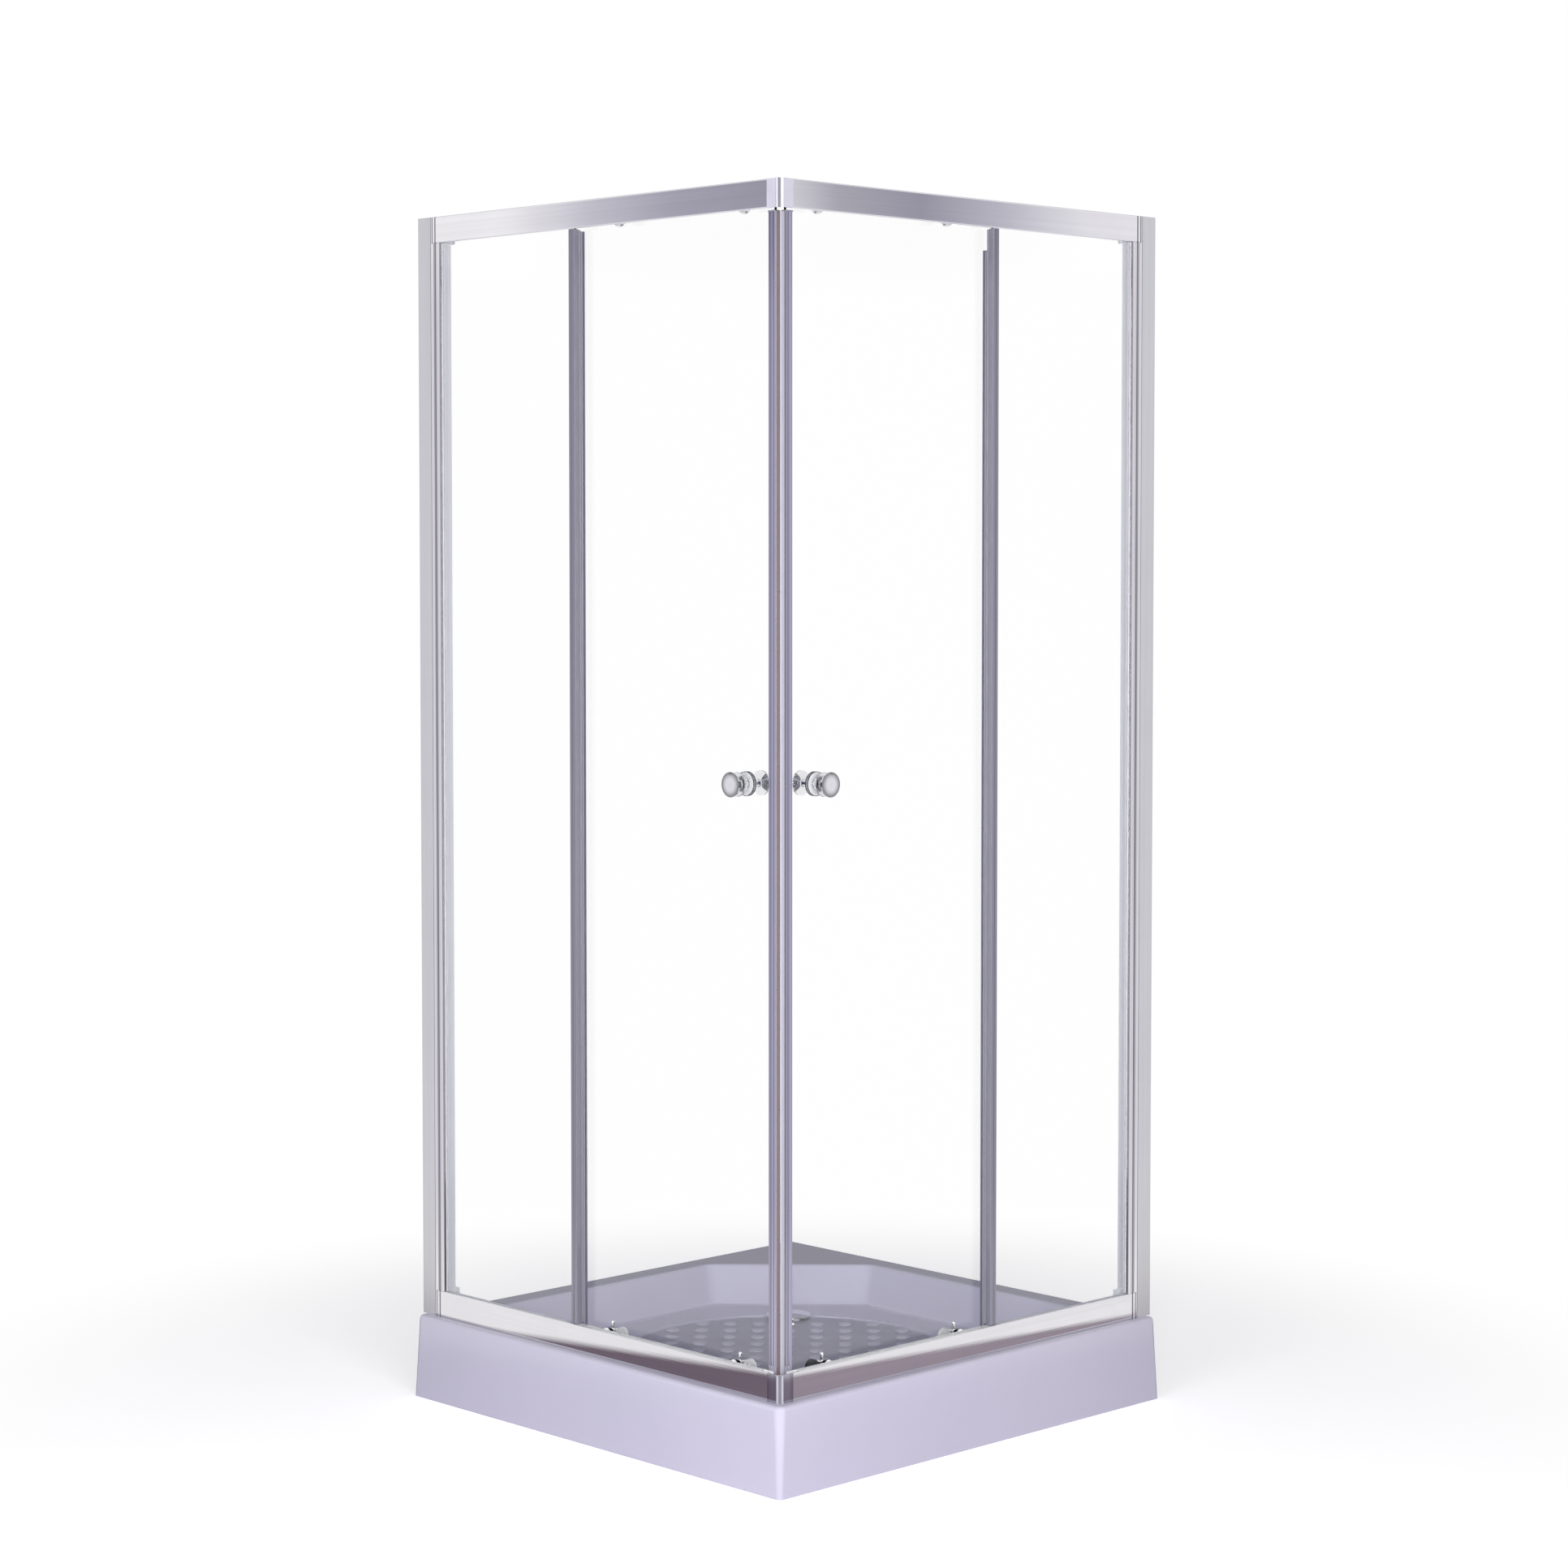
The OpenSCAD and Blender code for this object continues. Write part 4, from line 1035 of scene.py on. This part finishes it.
def threadOutline(look):
    outline = [(0.0, look["from"]), (look["core"], look["from"])]
    height = look["threadFrom"]
    while height < look["threadTo"] - look["pitch"] / 2:
        outline += [(look["core"], height), (look["radius"], height + look["pitch"] * 0.5)]
        height += look["pitch"]
    return outline + [(look["core"], height), (look["core"], look["top"]), (0.0, look["top"])]


def makeLegs(look):
    # threaded legs with their lock nuts
    form = bmesh.new()
    for x, y in look["places"]:
        leg = bmesh.new()
        spinOutline(leg, threadOutline(look), look["turnSteps"])
        nut = bmesh.ops.create_cone(leg, cap_ends=True, segments=look["nutSides"],
                                    radius1=look["nutRadius"], radius2=look["nutRadius"],
                                    depth=look["nutTo"] - look["nutFrom"])["verts"]
        bmesh.ops.translate(leg, verts=nut, vec=(0, 0, (look["nutFrom"] + look["nutTo"]) / 2))
        corners = set(nut)
        rims = [edge for edge in leg.edges if all(end in corners for end in edge.verts)
                and abs(edge.verts[0].co.z - edge.verts[1].co.z) < sameHeight]
        softenEdges(leg, rims, look["nutEdge"])
        bmesh.ops.translate(leg, verts=leg.verts, vec=(x, y, 0))
        part = bpy.data.meshes.new("leg")
        leg.to_mesh(part)
        leg.free()
        form.from_mesh(part)
        bpy.data.meshes.remove(part)
    piece = finishPiece(form, "threaded_legs", "enclosure", zincPlate)
    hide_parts("leg_screws")


makeLegs(screwedLeg)
print("threaded legs made")


coverStrip = {
    "from": 0.0685,
    "length": 0.431,
    "deep": (0.0238, 0.0352),
    "top": 0.1838,
    "foot": 0.1785,
    "wall": 0.0012,
    "round": 0.0005,
}


def extrudeOutline(form, outline, start, length):
    # a closed outline in depth and height, drawn out along the side
    face = form.faces.new([form.verts.new((start, deep, up)) for deep, up in outline])
    grown = bmesh.ops.extrude_face_region(form, geom=[face])
    ends = [part for part in grown["geom"] if isinstance(part, bmesh.types.BMVert)]
    bmesh.ops.translate(form, verts=ends, vec=(length, 0, 0))


def makeCoverStrip(side, look):
    # clip-in strip that closes the sill's empty glass channel under the door
    form = bmesh.new()
    low, high = look["deep"]
    top, foot, wall = look["top"], look["foot"], look["wall"]
    outline = ((low, foot), (low, top), (high, top), (high, foot), (high - wall, foot),
               (high - wall, top - wall), (low + wall, top - wall), (low + wall, foot))
    extrudeOutline(form, outline, look["from"], look["length"])
    ridges = [edge for edge in form.edges if edge.calc_length() > look["length"] / 2
              and all(abs(end.co.z - top) < sameHeight for end in edge.verts)]
    softenEdges(form, ridges, look["round"])
    bmesh.ops.transform(form, matrix=sideMatrix[side], verts=form.verts)
    finishPiece(form, side + "_cover_strip", "enclosure", moulded["coverPlastic"])


for side in sides:
    makeCoverStrip(side, coverStrip)
print("cover strips made")


# floor, world and lamps

studio = {
    "floorSize": 30.0,
    "floorColour": (0.80, 0.80, 0.82),
    "floorGlow": 0.55,
    "floorFade": (0.8, 1.7),  # metres from the middle over which the floor turns white
    "mirrorFade": (1.5, 2.4),  # and over which metal sees the room instead of the floor
    "reflectedMatLeft": (0.19, 0.15, 0.19),  # painted reflection: brown mat that only polished metal sees
    "reflectedMatRight": (0.37, 0.32, 0.37),
    "matFrontEdge": {"slope": 0.23, "at": 0.999, "blur": (-0.002, 0.040)},
    "matRightEdge": {"slope": 0.13, "at": 0.972, "blur": (-0.006, 0.020)},
    "skyLow": 0.36,
    "skyHigh": 0.12,
    "skySpan": (0.25, 0.8),
    "skyColour": (0.95, 0.95, 1.0),
    "horizonSpan": (0.075, 0.09),
    "lampAim": (0, 0, 0.6),
}

# what polished metal sees around it: degrees from +X, and how light it is there
highTones = ((0, 0.97), (44.85, 0.97), (45.05, 0.30), (46, 0.32), (47.5, 0.50), (49, 0.90),
             (52, 0.95), (90, 0.9), (102, 0.45), (118, 0.30), (148, 0.28), (153, 0.9), (168, 0.5),
             (180, 0.5), (190, 0.9), (219.5, 1.0), (220, 0.78), (222, 0.45), (225, 0.33),
             (227, 0.92), (262, 0.95), (275, 0.5), (290, 0.5), (300, 0.95), (360, 0.95))

# and near the horizon and on the floor, where the posts look
lowTones = ((0, 0.88), (60, 0.84), (90, 0.8), (100, 0.35), (122, 0.35), (132, 0.85), (160, 0.9),
            (170, 0.4), (185, 0.4), (195, 0.84), (240, 0.84), (262, 0.88), (273, 0.38), (290, 0.38),
            (302, 0.88), (360, 0.88))


def slateTone(level):
    # darker parts of the studio are bluer
    return (level, level * (0.97 + 0.03 * level), min(1.0, level * (1.28 - 0.28 * level)), 1)


def roomTone(tree, x, y, roomTones):
    perRadian = 0.5 / math.pi
    turn = times(tree, maths(tree, "ARCTAN2", y, x), perRadian)
    share = maths(tree, "FRACT", turn)
    stops = [(angle / 360, slateTone(level)) for angle, level in roomTones]
    return toneRamp(tree, share, stops).outputs["Color"]


def floorTone(tree, x, y, reach, look):
    # the painted reflection of a brown mat under and before the corner, white floor round it, and
    # the room beyond
    edge = look["matFrontEdge"]
    front = plus(tree, plus(tree, y, times(tree, x, edge["slope"])), edge["at"])
    frontMask = spread(tree, front, *edge["blur"])
    edge = look["matRightEdge"]
    right = minus(tree, edge["at"], plus(tree, x, times(tree, y, edge["slope"])))
    mat = times(tree, frontMask, spread(tree, right, *edge["blur"]))
    across = spread(tree, plus(tree, x, y), -1, 1)
    brown = blendColour(tree, across, look["reflectedMatLeft"], look["reflectedMatRight"])
    near = blendColour(tree, mat, plainWhite, brown)
    far = spread(tree, reach, *look["mirrorFade"])
    return blendColour(tree, far, near, roomTone(tree, x, y, lowTones))


def makeFloor(look):
    form = bmesh.new()
    bmesh.ops.create_grid(form, x_segments=1, y_segments=1, size=look["floorSize"] / 2)
    mesh = bpy.data.meshes.new("floor")
    form.to_mesh(mesh)
    form.free()
    floor = addObject("floor", mesh)
    material, tree, shader = newMaterial("paleFloor", {
        "Roughness": 0.9, "Specular IOR Level": 0.0})
    feed(tree, shader.inputs["Base Color"], look["floorColour"])
    path = addNode(tree, "LightPath")
    seen = eitherRay(tree, path, "Is Camera Ray", "Is Transmission Ray")
    place = objectPoint(tree)
    x, y = splitVector(tree, place)[:2]
    away = addNode(tree, "VectorMath", operation="LENGTH")
    join(tree, place, away.inputs[0])
    reach = away.outputs["Value"]

    # it glows a little, and fades to plain white further out
    glow = addNode(tree, "Emission")
    join(tree, times(tree, seen, look["floorGlow"]), glow.inputs["Strength"])
    both = addNode(tree, "AddShader")
    join(tree, shader.outputs["BSDF"], both.inputs[0])
    join(tree, glow.outputs["Emission"], both.inputs[1])
    white = addNode(tree, "Emission")
    fade = times(tree, seen, spread(tree, reach, *look["floorFade"], smooth=True))
    plain = mixShaders(tree, fade, both.outputs["Shader"], white.outputs["Emission"])

    # and metal sees the painted reflection of the mat and the room in it
    mirrored = addNode(tree, "Emission")
    join(tree, floorTone(tree, x, y, reach, look), mirrored.inputs["Color"])
    glossy = minus(tree, path.outputs["Is Glossy Ray"], path.outputs["Is Transmission Ray"],
                   clamp=True)
    join(tree, mixShaders(tree, glossy, plain, mirrored.outputs["Emission"]),
         tree.nodes["Material Output"].inputs["Surface"])
    mesh.materials.append(material)


def makeWorld(look):
    world = bpy.data.worlds.new("studio")
    bpy.context.scene.world = world
    world.use_nodes = True
    tree = world.node_tree
    x, y, z = splitVector(tree, addNode(tree, "TexCoord").outputs["Generated"])
    light = tree.nodes["Background"]
    feed(tree, light.inputs["Color"], look["skyColour"])
    join(tree, spread(tree, z, *look["skySpan"], look["skyLow"], look["skyHigh"]),
         light.inputs["Strength"])
    path = addNode(tree, "LightPath")
    seen = eitherRay(tree, path, "Is Camera Ray", "Is Transmission Ray")
    plain = addNode(tree, "Background")
    feed(tree, plain.inputs["Color"], plainWhite)
    mirrored = addNode(tree, "Background")
    raised = spread(tree, z, *look["horizonSpan"], smooth=True)
    low, high = roomTone(tree, x, y, lowTones), roomTone(tree, x, y, highTones)
    room = blendColour(tree, raised, low, high)
    join(tree, room, mirrored.inputs["Color"])
    lit = mixShaders(tree, path.outputs["Is Glossy Ray"], light.outputs["Background"],
                     mirrored.outputs["Background"])
    join(tree, mixShaders(tree, seen, lit, plain.outputs["Background"]),
         tree.nodes["World Output"].inputs["Surface"])


lamps = {
    "key": {"place": (3.0, -1.9, 1.3), "size": 1.8, "power": 84, "colour": (1.0, 0.98, 1.0)},
    "fill": {"place": (1.2, -3.2, 1.3), "size": 1.8, "power": 52, "colour": (0.97, 0.97, 1.0)},
    "top": {"place": (-0.4, 0.4, 4.2), "size": 2.6, "power": 5, "colour": (1.0, 1.0, 1.0)},
}


def makeLamps(plan, aim):
    for name, lamp in plan.items():
        data = bpy.data.lights.new(name, "AREA")
        data.size = lamp["size"]
        data.energy = lamp["power"]
        data.color = lamp["colour"]
        shape = addObject(name, data)
        shape.location = lamp["place"]
        shape.rotation_euler = (Vector(aim) - shape.location).to_track_quat("-Z", "Y").to_euler()
        shape.visible_glossy = False


makeFloor(studio)
makeWorld(studio)
makeLamps(lamps, studio["lampAim"])
bpy.context.scene.view_settings.view_transform = "Standard"
print("studio lit")
